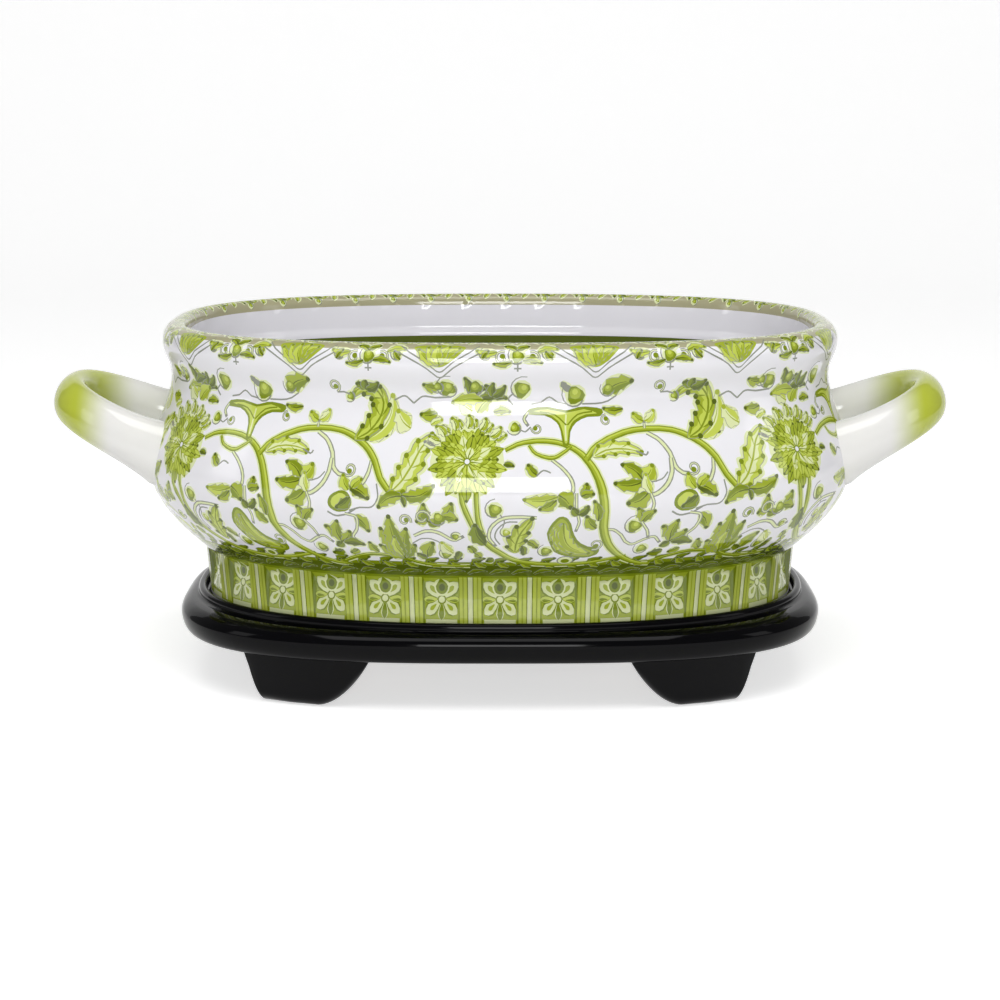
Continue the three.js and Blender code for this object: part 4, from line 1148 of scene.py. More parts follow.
@dataclass
class Decoration:
    """Everything painted on the outside of the basin, in the order it is laid on."""

    girth: float
    flowers: tuple[float, ...] = (-208.0, -19.0, 186.4)
    lappets: tuple[float, ...] = (-121.0, -36.0, 57.0, 147.0)
    lappet_count: int = 14
    lappet_repeat: float = 92.0       # width that a lappet and its cluster are drawn for
    fill_low: float = 54.0
    fill_high: float = 90.0
    fill_tries: int = 1200
    fill_room: float = 2.7            # least bare room round a knob at the foot, mm
    fill_thinning: float = 0.09       # how much more room it takes for each mm further up
    fill_reach: float = 6.5
    pair_room: float = 4.5            # bare room that also takes a second leaf and a bud, mm
    seed: int = 11

    def spread(self, placed: tuple[float, ...], count: int) -> list[tuple[float, float]]:
        """Places of a repeated motif all round: the seen ones as placed, the rest evenly.

        Args:
            placed: Places of the motifs in front, mm from the middle.
            count: How many there are all round.

        Returns:
            Place and width of each repeat.
        """
        places = list(placed)
        step = (self.girth - (placed[-1] - placed[0])) / (count - len(placed) + 1)
        while len(places) < count:
            places.append(places[-1] + step)
        return [(place, following - place)
                for place, following in zip(places, places[1:] + [places[0] + self.girth])]

    def paint(self) -> list[tuple[np.ndarray, Glaze]]:
        """Lays every shape and returns them in order."""
        brush = Brush()
        borders = Borders()
        for number in range(borders.panels):
            width = self.girth / borders.panels
            brush.move_to(number * width)
            borders.panel(brush)
            brush.move_to((number + 0.5) * width)
            borders.pilaster(brush)
        for place, width in self.spread(self.lappets, self.lappet_count):
            brush.move_to(place, width / self.lappet_repeat)
            borders.pendant(brush)
            brush.move_to(place + width / 2, width / self.lappet_repeat)
            borders.cluster(brush)
            for third in (0, 1 / 3, 2 / 3):
                brush.move_to(place + width * third, width / self.lappet_repeat)
                borders.lip_leaf(brush)
        brush.soft = False
        for number in range(borders.leaf_pairs):
            brush.move_to(number * self.girth / borders.leaf_pairs)
            borders.shade_band_leaves(brush)
        brush.soft = True
        scroll = ScrollBand()
        for place, width in self.spread(self.flowers, 6):
            brush.move_to(place, width / scroll.repeat, scroll.flower[0])
            scroll.paint(brush)
        brush.move_to(0.0)
        self.fill_bare(brush)
        return brush.washes + brush.shapes

    def fill_bare(self, brush: Brush) -> None:
        """Knobs and small leaves wherever the scroll has left the low belly bare, denser low down."""
        chance = random.Random(self.seed)
        taken = np.vstack([shape for shape, _ in brush.shapes])
        taken = taken[(taken[:, 1] > self.fill_low - 8) & (taken[:, 1] < self.fill_high + 8)]
        for _ in range(self.fill_tries):
            across = chance.uniform(0, self.girth)
            up = self.fill_low + (self.fill_high - self.fill_low) * chance.random() ** 1.6
            turn = chance.uniform(0, 2 * math.pi)
            gap = np.abs(taken[:, 0] - across) % self.girth
            gap = np.minimum(gap, self.girth - gap)
            room = float(np.sqrt((gap ** 2 + (taken[:, 1] - up) ** 2).min()))
            if room < self.fill_room + self.fill_thinning * (up - self.fill_low):
                continue
            middle, reach = np.array((across, up)), min(room, self.fill_reach)
            ahead = 0.85 * reach * toward(turn)
            base, tip = middle - ahead, middle + ahead
            aside = middle + 0.9 * np.array([-ahead[1], ahead[0]])
            body = chance.choice((LEAF, BRIGHT, DARK))
            brush.leaf(base, tip, 0.7 * room, body, bow=0.25)
            if room > self.pair_room:
                brush.leaf(base, aside, 0.6 * room, bow=-0.2)
                brush.bud(base, 0.3 * reach, math.degrees(turn))
            taken = np.vstack([taken, np.linspace(base, tip, 5), aside])


# ---------------- painted skin of the basin
def thinned(shape: np.ndarray, tolerance: float) -> np.ndarray:
    """Closed outline without the points that stray less than a tolerance from straight.

    Args:
        shape: Points of the outline, mm.
        tolerance: Greatest change of the outline, mm.

    Returns:
        The points that are kept.
    """
    count = len(shape)
    if count < 6:
        return shape
    far = int(np.argmax(np.linalg.norm(shape - shape[0], axis=1)))
    keep = np.zeros(count, bool)
    keep[[0, far]] = True
    stretches = [(0, far), (far, count)]
    while stretches:
        first, last = stretches.pop()
        if last - first < 2:
            continue
        start, chord = shape[first], shape[last % count] - shape[first]
        length = float(np.hypot(*chord))
        between = shape[first + 1:last] - start
        if length > 1e-9:
            stray = np.abs(chord[0] * between[:, 1] - chord[1] * between[:, 0]) / length
        else:
            stray = np.hypot(between[:, 0], between[:, 1])
        worst = int(np.argmax(stray))
        if stray[worst] > tolerance:
            middle = first + 1 + worst
            keep[middle] = True
            stretches += [(first, middle), (middle, last)]
    return shape[keep]


def wound_round(points: np.ndarray, shape: np.ndarray) -> np.ndarray:
    """Whether each point lies inside a closed outline, which may cross itself."""
    x, y = points[:, 0][:, None], points[:, 1][:, None]
    ahead = np.roll(shape, -1, axis=0)
    side = (ahead[:, 0] - shape[:, 0]) * (y - shape[:, 1]) - (x - shape[:, 0]) * (ahead[:, 1] - shape[:, 1])
    rising = (shape[:, 1] <= y) & (ahead[:, 1] > y) & (side > 0)
    falling = (shape[:, 1] > y) & (ahead[:, 1] <= y) & (side < 0)
    return (rising.sum(axis=1) - falling.sum(axis=1)) != 0


@dataclass
class Surface:
    """Corners, faces and glazes of the basin's skin while it is put together."""

    points: list[np.ndarray]
    normals: list[np.ndarray]
    faces: list[list[int]]
    slots: list[int]
    count: int


@dataclass
class PaintedSkin:
    """The basin as one closed skin whose outside is divided along the edges of the painting.

    Attributes:
        basin: The basin's shape.
        tolerance: How far a painted edge may be straightened, mm.
        spacing: Least distance between a plain corner and a painted edge's corner, mm.
        finer: Steps of the measured outline for each row of plain corners.
        snap: Distance within which corners at the unrolled wall's ends are the same one, mm.
        dry_rows: Rows of the underside that are the unglazed foot ring.
    """

    basin: Basin
    tolerance: float = 0.2
    spacing: float = 1.3
    finer: int = 12
    snap: float = 1e-4
    dry_rows: int = 8

    def __post_init__(self) -> None:
        """Measures the wall's outline, from its foot up."""
        fine = self.basin.outside(self.finer)
        self.halves, self.heights = fine[:, 0], fine[:, 1]
        self.fine_ups = self.measure(fine)
        self.ups = self.fine_ups[::self.finer]
        self.girth = self.basin.girth

    def measure(self, outline: np.ndarray) -> np.ndarray:
        """Distance along the outline, set so that the waist is at its own height."""
        run = np.concatenate([[0.0], np.cumsum(np.linalg.norm(np.diff(outline, axis=0), axis=1))])
        waist = int(np.argmin(np.abs(outline[:, 1] - self.basin.waist_height)))
        return run - run[waist] + self.basin.waist_height

    def wall(self, across: np.ndarray, up: np.ndarray) -> np.ndarray:
        """Points of the outside at distances round the belly and up the wall, mm."""
        half = np.interp(up, self.fine_ups, self.halves)
        height = np.interp(up, self.fine_ups, self.heights)
        return self.basin.place(half, height, self.basin.girth_angles(across))

    def wall_normals(self, across: np.ndarray, up: np.ndarray) -> np.ndarray:
        """Normals of the outside."""
        reach = 0.8
        low = np.maximum(up - reach, self.ups[0])
        high = np.minimum(up + reach, self.ups[-1])
        along = self.wall(across + reach, up) - self.wall(across - reach, up)
        rise = self.wall(across, high) - self.wall(across, low)
        normal = np.cross(along, rise)
        return normal / np.linalg.norm(normal, axis=1)[:, None]

    def grid(self, rows: np.ndarray) -> np.ndarray:
        """Plain corners of the unrolled wall."""
        across = np.linspace(-self.girth / 2, self.girth / 2, self.basin.around + 1)
        return np.array([(x, up) for up in rows for x in across])

    def repeated(self, shapes: list[tuple[np.ndarray, Glaze]]) -> list[tuple[np.ndarray, Glaze]]:
        """Shapes thinned and brought onto the unrolled wall, twice where they cross its ends."""
        placed = []
        for shape, glaze in shapes:
            shape = thinned(shape, self.tolerance)
            if len(shape) < 3:
                continue
            middle = (shape[:, 0].min() + shape[:, 0].max()) / 2
            home = shape - [self.girth * round(middle / self.girth), 0]
            home[:, 1] = np.clip(home[:, 1], self.ups[0] + self.spacing, self.ups[-1] - self.spacing)
            for turn in (-self.girth, 0.0, self.girth):
                moved = home + [turn, 0]
                if moved[:, 0].max() > -self.girth / 2 and moved[:, 0].min() < self.girth / 2:
                    placed.append((moved, glaze))
        return placed

    def divide(self, corners: np.ndarray, edges: np.ndarray) -> tuple[np.ndarray, np.ndarray]:
        """Triangles of the unrolled wall that keep the given edges.

        Args:
            corners: Corners on the unrolled wall, mm.
            edges: Pairs of corner numbers.

        Returns:
            Corners and triangles, inside the unrolled wall only.
        """
        found = geometry.delaunay_2d_cdt([tuple(c) for c in corners.tolist()],
                                         [tuple(e) for e in edges.tolist()], [], 0, 1e-4, False)
        points = np.array([(p[0], p[1]) for p in found[0]])
        triangles = np.array([f for f in found[2] if len(f) == 3])
        middle = points[triangles].mean(axis=1)
        inside = ((np.abs(middle[:, 0]) < self.girth / 2) & (middle[:, 1] > self.ups[0])
                  & (middle[:, 1] < self.ups[-1]))
        a, b, c = (points[triangles[:, i]] for i in range(3))
        area = (b[:, 0] - a[:, 0]) * (c[:, 1] - a[:, 1]) - (b[:, 1] - a[:, 1]) * (c[:, 0] - a[:, 0])
        triangles[area < 0] = triangles[area < 0][:, ::-1]
        return points, triangles[inside & (np.abs(area) > 1e-9)]

    def colours(self, middle: np.ndarray, shapes: list[tuple[np.ndarray, Glaze]],
                washes: list[tuple[float, float, Glaze]]) -> np.ndarray:
        """Which glaze shows at each point: the last one laid there.

        Args:
            middle: Points on the unrolled wall.
            shapes: Painted shapes in order.
            washes: Bands under them.

        Returns:
            Numbers of the glazes, in the order of the Glaze names.
        """
        shown = np.full(len(middle), GLAZE_NUMBER[WHITE])
        for low, high, glaze in washes:
            shown[(middle[:, 1] > low) & (middle[:, 1] < high)] = GLAZE_NUMBER[glaze]
        order = np.argsort(middle[:, 0])
        sorted_x = middle[order, 0]
        for shape, glaze in shapes:
            (left, low), (right, high) = shape.min(axis=0), shape.max(axis=0)
            near = order[np.searchsorted(sorted_x, left):np.searchsorted(sorted_x, right)]
            near = near[(middle[near, 1] > low) & (middle[near, 1] < high)]
            if len(near):
                shown[near[wound_round(middle[near], shape)]] = GLAZE_NUMBER[glaze]
        return shown

    def shown_edges(self, triangles: np.ndarray, shown: np.ndarray) -> np.ndarray:
        """Edges between triangles of different glazes."""
        edges = np.vstack([triangles[:, pair] for pair in ([0, 1], [1, 2], [2, 0])])
        edges = np.sort(edges, axis=1)
        owner = np.tile(np.arange(len(triangles)), 3)
        order = np.lexsort((edges[:, 1], edges[:, 0]))
        edges, owner = edges[order], owner[order]
        same = (edges[1:] == edges[:-1]).all(axis=1)
        differ = shown[owner[1:]] != shown[owner[:-1]]
        return edges[:-1][same & differ]

    def painted_wall(self) -> tuple[np.ndarray, np.ndarray, np.ndarray]:
        """Corners on the unrolled wall, its triangles and the glaze of each triangle.

        The painting is divided twice: once along every shape laid, and again along only the edges
        that show, which leaves out what later strokes cover.
        """
        decoration = Decoration(self.girth)
        washes = Borders().washes()
        shapes = self.repeated(decoration.paint())
        levels = [level for low, high, _ in washes for level in (low, high)]
        frame = self.grid(self.ups[[0, -1]])
        count = self.basin.around + 1
        sides = np.array([(0, count), (count - 1, 2 * count - 1)])
        corners, edges, first = [frame], [sides], len(frame)
        for shape, _ in shapes:
            number = np.arange(len(shape)) + first
            corners.append(shape)
            edges.append(np.column_stack([number, np.roll(number, -1)]))
            first += len(shape)
        for level in levels:
            corners.append(np.array([(-self.girth / 2, level), (self.girth / 2, level)]))
            edges.append(np.array([(first, first + 1)]))
            first += 2
        points, triangles = self.divide(np.vstack(corners), np.vstack(edges))
        shown = self.colours(points[triangles].mean(axis=1), shapes, washes)
        used, renumbered = np.unique(self.shown_edges(triangles, shown), return_inverse=True)
        outline, outline_edges = points[used], renumbered.reshape(-1, 2)
        tree = kdtree.KDTree(len(outline))
        for index, (x, up) in enumerate(outline):
            tree.insert((x, up, 0), index)
        tree.balance()
        plain = [p for p in self.grid(np.unique(np.concatenate([self.ups, levels])))
                 if abs(p[0]) > self.girth / 2 - 1e-6 or p[1] in self.ups[[0, -1]]
                 or tree.find((p[0], p[1], 0))[2] > self.spacing]
        size = len(outline)
        rim = [(a + size, b + size) for a, b in ((0, len(plain) - count), (count - 1, len(plain) - 1))]
        points, triangles = self.divide(np.vstack([outline, plain]), np.vstack([outline_edges, rim]))
        return points, triangles, self.colours(points[triangles].mean(axis=1), shapes, washes)

    def seam_closed(self, flat: np.ndarray, triangles: np.ndarray) -> np.ndarray:
        """Triangles that use the corners at the unrolled wall's left end at its right end too."""
        right = np.flatnonzero(flat[:, 0] > self.girth / 2 - self.snap)
        left = np.flatnonzero(flat[:, 0] < -self.girth / 2 + self.snap)
        left = left[np.argsort(flat[left, 1])]
        levels, wanted = flat[left, 1], flat[right, 1]
        above = np.clip(np.searchsorted(levels, wanted), 1, len(left) - 1)
        below_is_nearer = np.abs(levels[above - 1] - wanted) < np.abs(levels[above] - wanted)
        merged = np.arange(len(flat))
        merged[right] = left[above - below_is_nearer]
        return merged[triangles]

    def edge_ring(self, flat: np.ndarray, level: float) -> np.ndarray:
        """Corners of the unrolled wall at one level, in order along it."""
        ring = np.flatnonzero((np.abs(flat[:, 1] - level) < self.snap)
                              & (flat[:, 0] < self.girth / 2 - self.snap))
        return ring[np.argsort(flat[ring, 0])]

    def lining_glaze(self, height: float, row: int, facing: int) -> Glaze:
        """Glaze of one row of the inside, by its height, or of the underside, by its number."""
        if facing > 0:
            # the olive ring under the neck is partly a painted line, partly painted shade of the neck's
            # inner overhang
            return SHADE if self.basin.shade_ring_foot < height < self.basin.shade_ring_top - 0.1 else WHITE
        return BISCUIT if row < self.dry_rows else WHITE

    def add_lining(self, surface: Surface, edge: np.ndarray, outline: np.ndarray, facing: int) -> None:
        """Runs the skin on from one edge of the outside and closes it in the middle.

        Args:
            surface: The skin so far.
            edge: Corners of that edge, in order round it.
            outline: Half-length and height of each ring that follows.
            facing: 1 for the inside, which faces up, and -1 for the underside.
        """
        around, up = self.basin.around, [0, 0, facing]
        across = np.linspace(-self.girth / 2, self.girth / 2, around, endpoint=False)
        rings = self.basin.rings(outline, self.basin.girth_angles(across))
        centre = rings[-1].mean(axis=0)
        shrunk = [(centre + (rings[-1] - centre) * share)[None] for share in (0.66, 0.33)]
        whole = np.vstack([surface.points[0][edge][None], rings, *shrunk])
        along = np.roll(whole, -1, axis=1) - np.roll(whole, 1, axis=1)
        normal = np.cross(along, np.gradient(whole, axis=0)) * facing
        length = np.linalg.norm(normal, axis=2)[..., None]
        normal = np.where(length > 1e-9, normal / np.maximum(length, 1e-9), up)
        normal[-2:] = up
        surface.points += [whole[1:].reshape(-1, 3), centre[None]]
        surface.normals += [normal[1:].reshape(-1, 3), np.array([up], float)]

        numbers = [edge] + [surface.count + ring * around + np.arange(around)
                            for ring in range(len(whole) - 1)]
        heights = whole[:, 0, 2] - self.basin.foot_z
        for row, (below, above) in enumerate(zip(numbers, numbers[1:])):
            glaze = self.lining_glaze((heights[row] + heights[row + 1]) / 2, row, facing)
            for a, b, c, d in zip(below, np.roll(below, -1), np.roll(above, -1), above):
                surface.faces.append([a, b, c, d] if facing > 0 else [a, d, c, b])
                surface.slots.append(GLAZE_NUMBER[glaze])
        middle = surface.count + (len(whole) - 1) * around
        for a, b in zip(numbers[-1], np.roll(numbers[-1], -1)):
            surface.faces.append([a, b, middle] if facing > 0 else [b, a, middle])
            surface.slots.append(GLAZE_NUMBER[WHITE])
        surface.count = middle + 1

    def build(self, materials: Sequence[Material]) -> Object:
        """Builds the painted outside and the plain inside and underside as one skin.

        Args:
            materials: One material for each glaze, in the order of the Glaze names.

        Returns:
            The basin, standing for its CAD node.
        """
        flat, triangles, shown = self.painted_wall()
        across, up = flat[:, 0], flat[:, 1]
        surface = Surface([self.wall(across, up)], [self.wall_normals(across, up)],
                          self.seam_closed(flat, triangles).tolist(), shown.tolist(), len(flat))
        self.add_lining(surface, self.edge_ring(flat, self.ups[-1]), self.basin.inside(), 1)
        self.add_lining(surface, self.edge_ring(flat, self.ups[0]), self.basin.underside()[-2::-1], -1)
        obj = make_object("basin_skin", np.vstack(surface.points), surface.faces, materials,
                          surface.slots, np.vstack(surface.normals))
        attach(obj, POT_BODY)
        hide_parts("basin")
        return obj


# ---------------- handles
@dataclass
class Handle:
    """Loop handle luted to the basin's wall at both ends and tilted up as it leaves it.

    Attributes:
        side: 1 for the right handle, -1 for the left one.
        basin: The basin that carries it.
    """

    side: int
    basin: Basin
    root_inset: float = 13.2          # tube's middle at the wall, inside the belly's half-length
    root_height: float = 94.0
    reach: float = 69.5
    half_spread: float = 55.0
    tilt: float = math.radians(24)
    squareness: float = 2.3
    half_depth: float = 14.0
    half_thickness: float = 9.5
    flare: float = 0.45
    flare_length: float = 18.0
    inside: float = 7.0               # how far the clay runs into the wall's thickness
    steps: int = 96
    sides: int = 40

    def path(self) -> tuple[np.ndarray, np.ndarray]:
        """Middle line of the loop and how far out each of its points is, mm."""
        turn = np.linspace(-math.pi / 2, math.pi / 2, self.steps + 1)
        power = 2 / self.squareness
        out = self.reach * np.maximum(np.cos(turn), 0) ** power
        across = np.sign(turn) * self.half_spread * np.abs(np.sin(turn)) ** power
        out = np.concatenate([[-self.inside], out, [-self.inside]])
        across = np.concatenate([[across[0]], across, [across[-1]]])
        x = self.side * (self.basin.half - self.root_inset + out * math.cos(self.tilt))
        z = self.basin.foot_z + self.root_height + out * math.sin(self.tilt)
        return np.column_stack([x, across, z]), out

    def wall_middle(self, points: np.ndarray) -> np.ndarray:
        """How far from the centre the middle of the wall's thickness is, level with each point, mm."""
        outline = self.basin.outside()
        outline = outline[:int(np.argmax(outline[:, 1]))]
        half = np.interp(points[:, 2] - self.basin.foot_z, outline[:, 1], outline[:, 0])
        half -= self.basin.wall / 2
        plan = self.basin.plan
        share = np.minimum(np.abs(points[:, 1]) / (half - plan.narrower), 1)
        return half * (1 - share ** plan.squareness) ** (1 / plan.squareness)

    def build(self, material: Material) -> Object:
        """Builds the handle and stands it for its CAD node."""
        middle, out = self.path()
        loop_normal = np.array([-self.side * math.sin(self.tilt), 0, math.cos(self.tilt)])
        along = np.gradient(middle, axis=0)
        along /= np.linalg.norm(along, axis=1)[:, None]
        outward = np.cross(along, loop_normal)
        outward /= np.linalg.norm(outward, axis=1)[:, None]
        swell = 1 + self.flare * np.exp(-np.maximum(out, 0) / self.flare_length)
        turn = np.linspace(0, 2 * math.pi, self.sides, endpoint=False)
        deep = self.half_depth * np.cos(turn)
        thick = self.half_thickness * np.sin(turn)
        sections = (middle[:, None, :]
                    + (swell[:, None] * deep)[:, :, None] * loop_normal
                    + (swell[:, None] * thick)[:, :, None] * outward[:, None, :])
        points = sections.reshape(-1, 3)
        points[:, 0] = self.side * np.maximum(self.side * points[:, 0], self.wall_middle(points))
        faces = turned_out(points, tube_faces(len(middle), self.sides))
        node = "handle_right" if self.side > 0 else "handle_left"
        obj = make_object(f"{node}_loop", points, faces, [material])
        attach(obj, POT_BODY)
        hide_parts(node)
        return obj


# ---------------- stand
@dataclass
class Stand:
    """Moulded frame in four lengths with a raised lip, on four bracket feet.

    Half-lengths along X and heights above the floor are in mm.
    """

    foot_height: float = 31.0
    seat_height: float = 48.7
    seat_width: float = 28.0
    ledge: float = 8.0
    panel_thickness: float = 6.0
    lip_width: float = 5.0
    lip_rise: float = 5.6
    lip_fall: float = 4.6
    margin: float = 5.0
    belly_out: float = 4.3
    belly_height: float = 10.5
    foot_end_inset: float = 43.0
    foot_span: float = 75.5
    pad_inset: float = 8.0
    pad_width: float = 35.0
    foot_tip: float = 1.2
    foot_inset: float = 3.0
    foot_taper: float = 4.0
    foot_thickness: float = 29.0
    foot_rounding: float = 7.0
    rail_steps: int = 96
    plan: OvalPlan = field(init=False)
    widest: float = field(init=False)

    def __post_init__(self) -> None:
        """Takes the frame's overall size from the CAD."""
        _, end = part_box("frame_end_right")
        _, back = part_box("frame_rail_back")
        self.widest = end.x / MM
        self.plan = OvalPlan((end.x - back.y) / MM, 3.0)

    @property
    def underside(self) -> float:
        """Half-length of the frame at its underside."""
        return self.widest - self.belly_out

    def section(self) -> list[tuple[float, float, OvalPlan]]:
        """Cross-section of the moulding: half-length, height and plan of each corner."""
        lip_outer = self.underside - self.margin
        lip_inner = lip_outer - self.lip_width
        opening = lip_inner - self.seat_width
        panel = opening + self.ledge
        ledge_height = self.seat_height - self.panel_thickness - SEAT_GAP
        crest = self.seat_height + self.lip_rise
        step_height = crest - self.lip_fall
        swell_height = self.foot_height + self.belly_height
        ease = 0.6
        seat = [(opening, self.foot_height), (opening, ledge_height), (panel, ledge_height),
                (panel, self.seat_height - ease), (panel + ease, self.seat_height),
                (lip_inner - ease, self.seat_height)]
        middle = (lip_inner + self.lip_width / 2, crest)
        lip = np.vstack([
            [(lip_inner, self.seat_height + ease)],
            cubic((lip_inner, self.seat_height + 3), (lip_inner, crest - 1), (lip_inner + 1, crest),
                  middle, 8),
            cubic(middle, (lip_outer - ease, crest), (lip_outer, crest - 1.4),
                  (lip_outer, step_height + 0.8), 8),
            cubic((lip_outer, step_height + 0.8), (lip_outer, step_height + 0.3),
                  (lip_outer + 0.3, step_height), (lip_outer + 1, step_height), 3),
        ])
        swell = np.vstack([
            cubic((lip_outer + 1.6, step_height - 0.1), (self.widest - 3.5, step_height - 1),
                  (self.widest, swell_height + 4), (self.widest, swell_height), 16),
            cubic((self.widest, swell_height), (self.widest, swell_height - 5),
                  (self.underside + 2, self.foot_height), (self.underside - 1, self.foot_height), 14),
        ])
        step_plan = FOOT_PLAN.mixed(self.plan, 0.35)
        return ([(half, z, FOOT_PLAN) for half, z in (*seat, *lip[:-1])] + [(*lip[-1], step_plan)]
                + [(half, z, self.plan) for half, z in swell])

    def build_rail(self, name: str, start: float, end: float,
                   material: Material) -> Object:
        """Builds one length of the frame between two of its joints."""
        corners = self.section()
        angles = self.plan.even_angles(self.widest, start, end, self.rail_steps)
        columns = [np.column_stack([plan.points(half, angles), np.full(angles.shape, z)])
                   for half, z, plan in corners]
        points = np.stack(columns, axis=1).reshape(-1, 3)
        faces = turned_out(points, tube_faces(len(angles), len(corners)))
        obj = make_object(f"{name}_moulding", points, faces, [material])
        hard_edges(obj, 50)
        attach(obj, STAND_BODY)
        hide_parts(name)
        return obj

    def behind_edge(self, x: np.ndarray, back: np.ndarray) -> np.ndarray:
        """Points behind the frame's front edge at a given x, square to the edge."""
        half = self.underside - self.foot_inset
        y = self.plan.half_width(half, x)
        n = self.plan.squareness
        depth = half - self.plan.narrower
        normal = np.stack([(x / half) ** (n - 1) / half, (y / depth) ** (n - 1) / depth], axis=-1)
        normal /= np.linalg.norm(normal, axis=-1)[..., None]
        return np.stack([x - back * normal[..., 0], -(y - back * normal[..., 1])], axis=-1)

    def foot_outline(self) -> np.ndarray:
        """Lower edge of the front right foot: x along the frame and height."""
        outer = self.underside - self.foot_end_inset
        inner = outer - self.foot_span
        pad_outer = outer - self.pad_inset
        pad_inner = pad_outer - self.pad_width
        scroll = pad_inner - inner
        top = self.foot_height - self.foot_tip
        return np.vstack([
            [(outer, top)],
            cubic((outer, top), (outer - 0.2 * self.pad_inset, 0.6 * self.foot_height),
                  (pad_outer + 0.5 * self.pad_inset, 0.05 * self.foot_height), (pad_outer, 0), 16),
            [((pad_outer + pad_inner) / 2, 0), (pad_inner, 0)],
            cubic((pad_inner, 0), (pad_inner - scroll / 3, self.foot_height / 30),
                  (inner + 0.26 * scroll, 0.44 * self.foot_height), (inner, top), 20),
        ])

    def foot_section(self, low: float) -> np.ndarray:
        """Section of a foot above a height: distance behind its face, and height."""
        high = self.foot_height - SEAT_GAP
        radius = min(self.foot_rounding, (high - low) / 2)
        turn = np.linspace(0, math.pi / 2, 9)
        lean = self.foot_taper * (high - (low + radius * (1 - np.sin(turn)))) / self.foot_height
        front = np.column_stack([lean + radius * (1 - np.cos(turn)), low + radius * (1 - np.sin(turn))])
        back_radius = radius / 4
        rear = self.foot_thickness
        return np.vstack([[(0, high)], front,
                          [(rear - back_radius, low), (rear, low + back_radius), (rear, high)]])

    def build_foot(self, place: str, side_x: int, side_y: int,
                   material: Material) -> Object:
        """Builds a bracket foot at one corner.

        Args:
            place: Which corner, such as "front_left".
            side_x: 1 on the right, -1 on the left.
            side_y: 1 at the front, -1 at the back.
            material: Its lacquer.

        Returns:
            The foot, riding on the stand.
        """
        sections = []
        for x, low in self.foot_outline():
            section = self.foot_section(low)
            flat = self.behind_edge(np.full(len(section), x), section[:, 0])
            sections.append(np.column_stack([flat[:, 0] * side_x, flat[:, 1] * side_y, section[:, 1]]))
        points = np.vstack(sections)
        faces = turned_out(points, tube_faces(len(sections), len(sections[0])))
        obj = make_object(f"foot_{place}_bracket", points, faces, [material])
        hard_edges(obj, 40)
        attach(obj, STAND_BODY)
        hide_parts(f"foot_{place}")
        return obj

    def build(self, material: Material) -> list[Object]:
        """Builds the four lengths of the frame and the four feet."""
        joints = [eighth * math.pi / 4 for eighth in (1, 3, 5, 7, 9)]
        names = ("frame_rail_back", "frame_end_left", "frame_rail_front", "frame_end_right")
        built = [self.build_rail(name, start, end, material)
                 for name, start, end in zip(names, joints, joints[1:])]
        for side_y, row in ((1, "front"), (-1, "back")):
            for side_x, column in ((1, "right"), (-1, "left")):
                built.append(self.build_foot(f"{row}_{column}", side_x, side_y, material))
        return built


# ---------------- studio
@dataclass(frozen=True)
class Lamp:
    """Rectangular softbox aimed at a point, with sizes in metres and power in watts."""

    name: str
    place: tuple[float, float, float]
    target: tuple[float, float, float]
    width: float
    height: float
    watts: float

    def build(self) -> Object:
        """Adds the lamp to the scene."""
        data = bpy.data.lights.new(self.name, "AREA")
        data.shape = "RECTANGLE"
        data.size, data.size_y = self.width, self.height
        data.energy = self.watts
        lamp = bpy.data.objects.new(self.name, data)
        lamp.location = self.place
        aim = Vector(self.target) - Vector(self.place)
        lamp.rotation_euler = aim.to_track_quat("-Z", "Y").to_euler()
        bpy.context.scene.collection.objects.link(lamp)
        return lamp


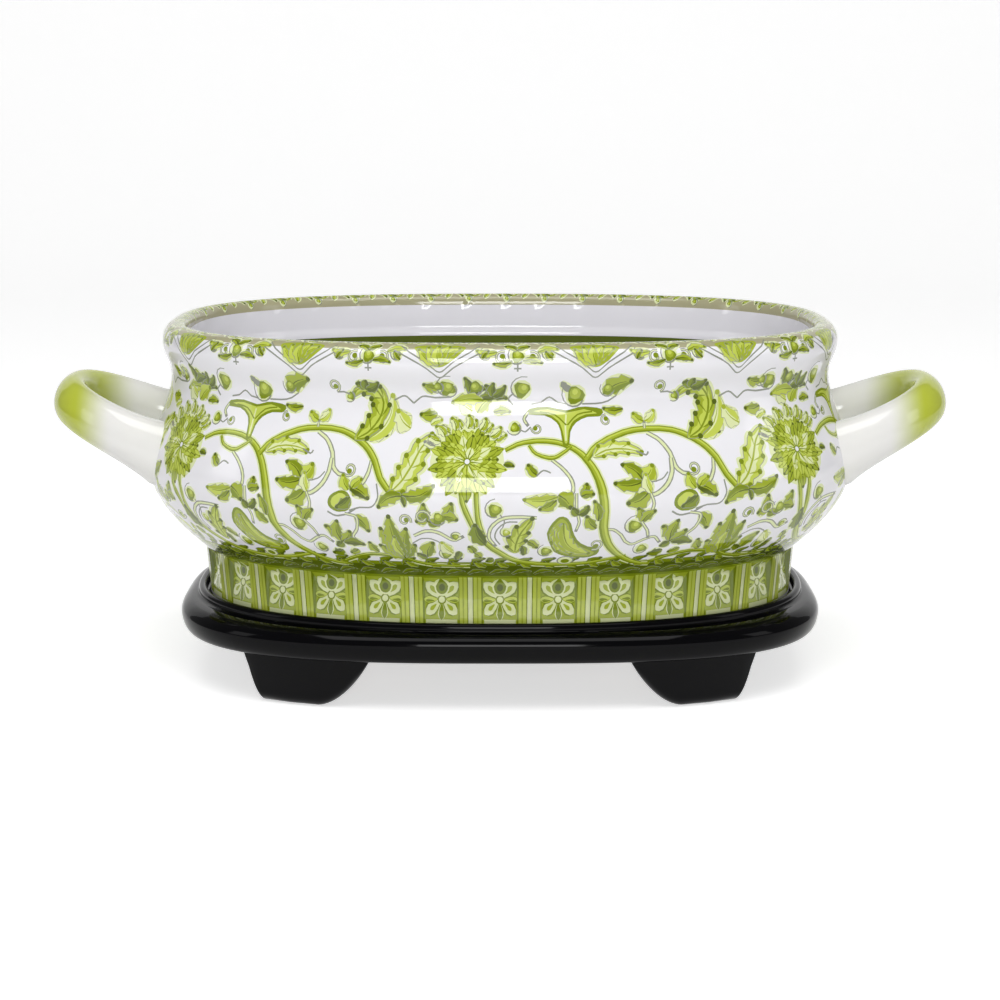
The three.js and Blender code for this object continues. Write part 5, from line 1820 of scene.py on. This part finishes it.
@dataclass
class Studio:
    """White floor and backdrop, softboxes and the camera.

    The camera stands where the photograph was taken from: straight in front and a little above.
    """

    distance: float = 1.4
    elevation: float = math.radians(11.4)
    aim_height: float = 0.1026
    focal_pixels: float = 2202.6      # of a picture 1000 pixels wide
    picture_pixels: float = 1000.0
    sensor: float = 36.0
    world_strength: float = 0.34
    paper_lift: float = 0.6           # glow that lifts the paper to white without filling the shadows

    def add_camera(self) -> Object:
        """Adds the camera and makes it the scene's."""
        data = bpy.data.cameras.new("camera")
        data.sensor_width = data.sensor_height = self.sensor
        data.sensor_fit = "HORIZONTAL"
        data.lens = self.focal_pixels / self.picture_pixels * self.sensor
        camera = bpy.data.objects.new("camera", data)
        camera.location = (0, -self.distance * math.cos(self.elevation),
                           self.aim_height + self.distance * math.sin(self.elevation))
        aim = Vector((0, 0, self.aim_height)) - camera.location
        camera.rotation_euler = aim.to_track_quat("-Z", "Y").to_euler()
        bpy.context.scene.collection.objects.link(camera)
        bpy.context.scene.camera = camera
        return camera

    def paper(self) -> Material:
        """White paper that the camera and reflections see as pure white, less the shadows on it."""
        material, shader = new_shader("white_paper", {"Base Color": linear("f2f2f2"), "Roughness": 0.9})
        tree = material.node_tree
        ray = add_node(tree, "ShaderNodeLightPath")
        seen = add_node(tree, "ShaderNodeMath", {"operation": "MAXIMUM"},
                        {0: ray.outputs["Is Camera Ray"], 1: ray.outputs["Is Glossy Ray"]})
        seen = add_node(tree, "ShaderNodeMath", {"operation": "MAXIMUM"},
                        {0: seen.outputs[0], 1: ray.outputs["Is Transmission Ray"]})
        lift = add_node(tree, "ShaderNodeMath", {"operation": "MULTIPLY", 1: self.paper_lift},
                        {0: seen.outputs[0]})
        shader.inputs["Emission Color"].default_value = (1, 1, 1, 1)
        tree.links.new(lift.outputs[0], shader.inputs["Emission Strength"])
        return material

    def add_stage(self) -> Object:
        """Adds one sweep of paper: floor, a wide curve and a wall behind."""
        depth, rise, radius, width = 3.0, 2.6, 0.8, 3.5
        bend = [(depth - radius + radius * math.sin(t), radius * (1 - math.cos(t)))
                for t in np.linspace(0, math.pi / 2, 17)]
        line = [(-2.6, 0.0)] + bend + [(depth, rise)]
        points = np.array([(side * width, y, z) for y, z in line for side in (-1, 1)]) / MM
        faces = [[2 * i, 2 * i + 1, 2 * i + 3, 2 * i + 2] for i in range(len(line) - 1)]
        sweep = make_object("paper_sweep", points, faces, [self.paper()])
        return sweep

    def add_world(self) -> None:
        """Even pale light from all round, white where the camera sees it."""
        world = bpy.data.worlds.new("studio_air")
        bpy.context.scene.world = world
        world.use_nodes = True
        tree = world.node_tree
        tree.nodes.clear()
        ray = add_node(tree, "ShaderNodeLightPath")
        even = add_node(tree, "ShaderNodeBackground", {"Strength": self.world_strength})
        white = add_node(tree, "ShaderNodeBackground", {"Color": (1, 1, 1, 1), "Strength": 1.0})
        mix = add_node(tree, "ShaderNodeMixShader", links={
            0: ray.outputs["Is Camera Ray"], 1: even.outputs[0], 2: white.outputs[0]})
        add_node(tree, "ShaderNodeOutputWorld", links={0: mix.outputs[0]})

    def build(self) -> None:
        """Sets up the whole studio."""
        self.add_camera()
        self.add_stage()
        self.add_world()
        for lamp in (
            Lamp("front_softbox", (0.0, -2.1, 0.49), (0, 0, 0.12), 0.56, 0.6, 11),
            Lamp("top_softbox", (0.0, -0.8, 1.8), (0, 0, 0.1), 1.6, 1.1, 19),
            Lamp("left_softbox", (-1.8, -0.7, 0.7), (0, 0, 0.1), 0.5, 0.9, 2.4),
            Lamp("right_softbox", (1.8, -0.7, 0.7), (0, 0, 0.1), 0.5, 0.9, 2.4),
        ):
            lamp.build()
        bpy.context.scene.view_settings.view_transform = "Standard"


# ---------------- hidden joinery
@dataclass(frozen=True)
class Joinery:
    """Pieces of the stand that keep their CAD shapes and get real finishes."""

    nodes: dict[str, Object]

    def dress(self) -> None:
        """Gives the panel, battens, glue blocks, dowels and screws their materials."""
        board = SawnWood("stained_board", "2a211a", "15100c", 0.5, along="X").build()
        bare = SawnWood("bare_camphor_wood", "a8865c", "6f5233", 0.72).build()
        steel = ZincPlatedSteel().build()
        for name, node in self.nodes.items():
            if name == "floor_panel":
                finish, slot = board, "panel_board"
            elif name.startswith(("batten", "glue_block", "dowel")):
                finish, slot = bare, "raw_wood"
            elif "screw" in name:
                finish, slot = steel, "zinc_steel"
            else:
                continue
            if not node.material_slots:
                node.data.materials.append(finish)
            for place in node.material_slots:
                place.material = finish


def main() -> None:
    """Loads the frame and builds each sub-assembly on it."""
    logging.basicConfig(level=logging.INFO, format="%(name)s: %(message)s")
    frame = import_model()

    Studio().build()
    porcelain = GlazedPorcelain()
    basin = Basin()
    skin = PaintedSkin(basin).build([porcelain.build(glaze) for glaze in Glaze])
    LOG.info("basin: %d faces", len(skin.data.polygons))

    handle_glaze = WashedHandleGlaze().build()
    for side in (1, -1):
        LOG.info("handle: %s", Handle(side, basin).build(handle_glaze).name)
    for piece in Stand().build(BlackLacquer().build()):
        LOG.info("stand: %s", piece.name)
    Joinery(frame["nodes"]).dress()


if __name__ == "__main__":
    main()
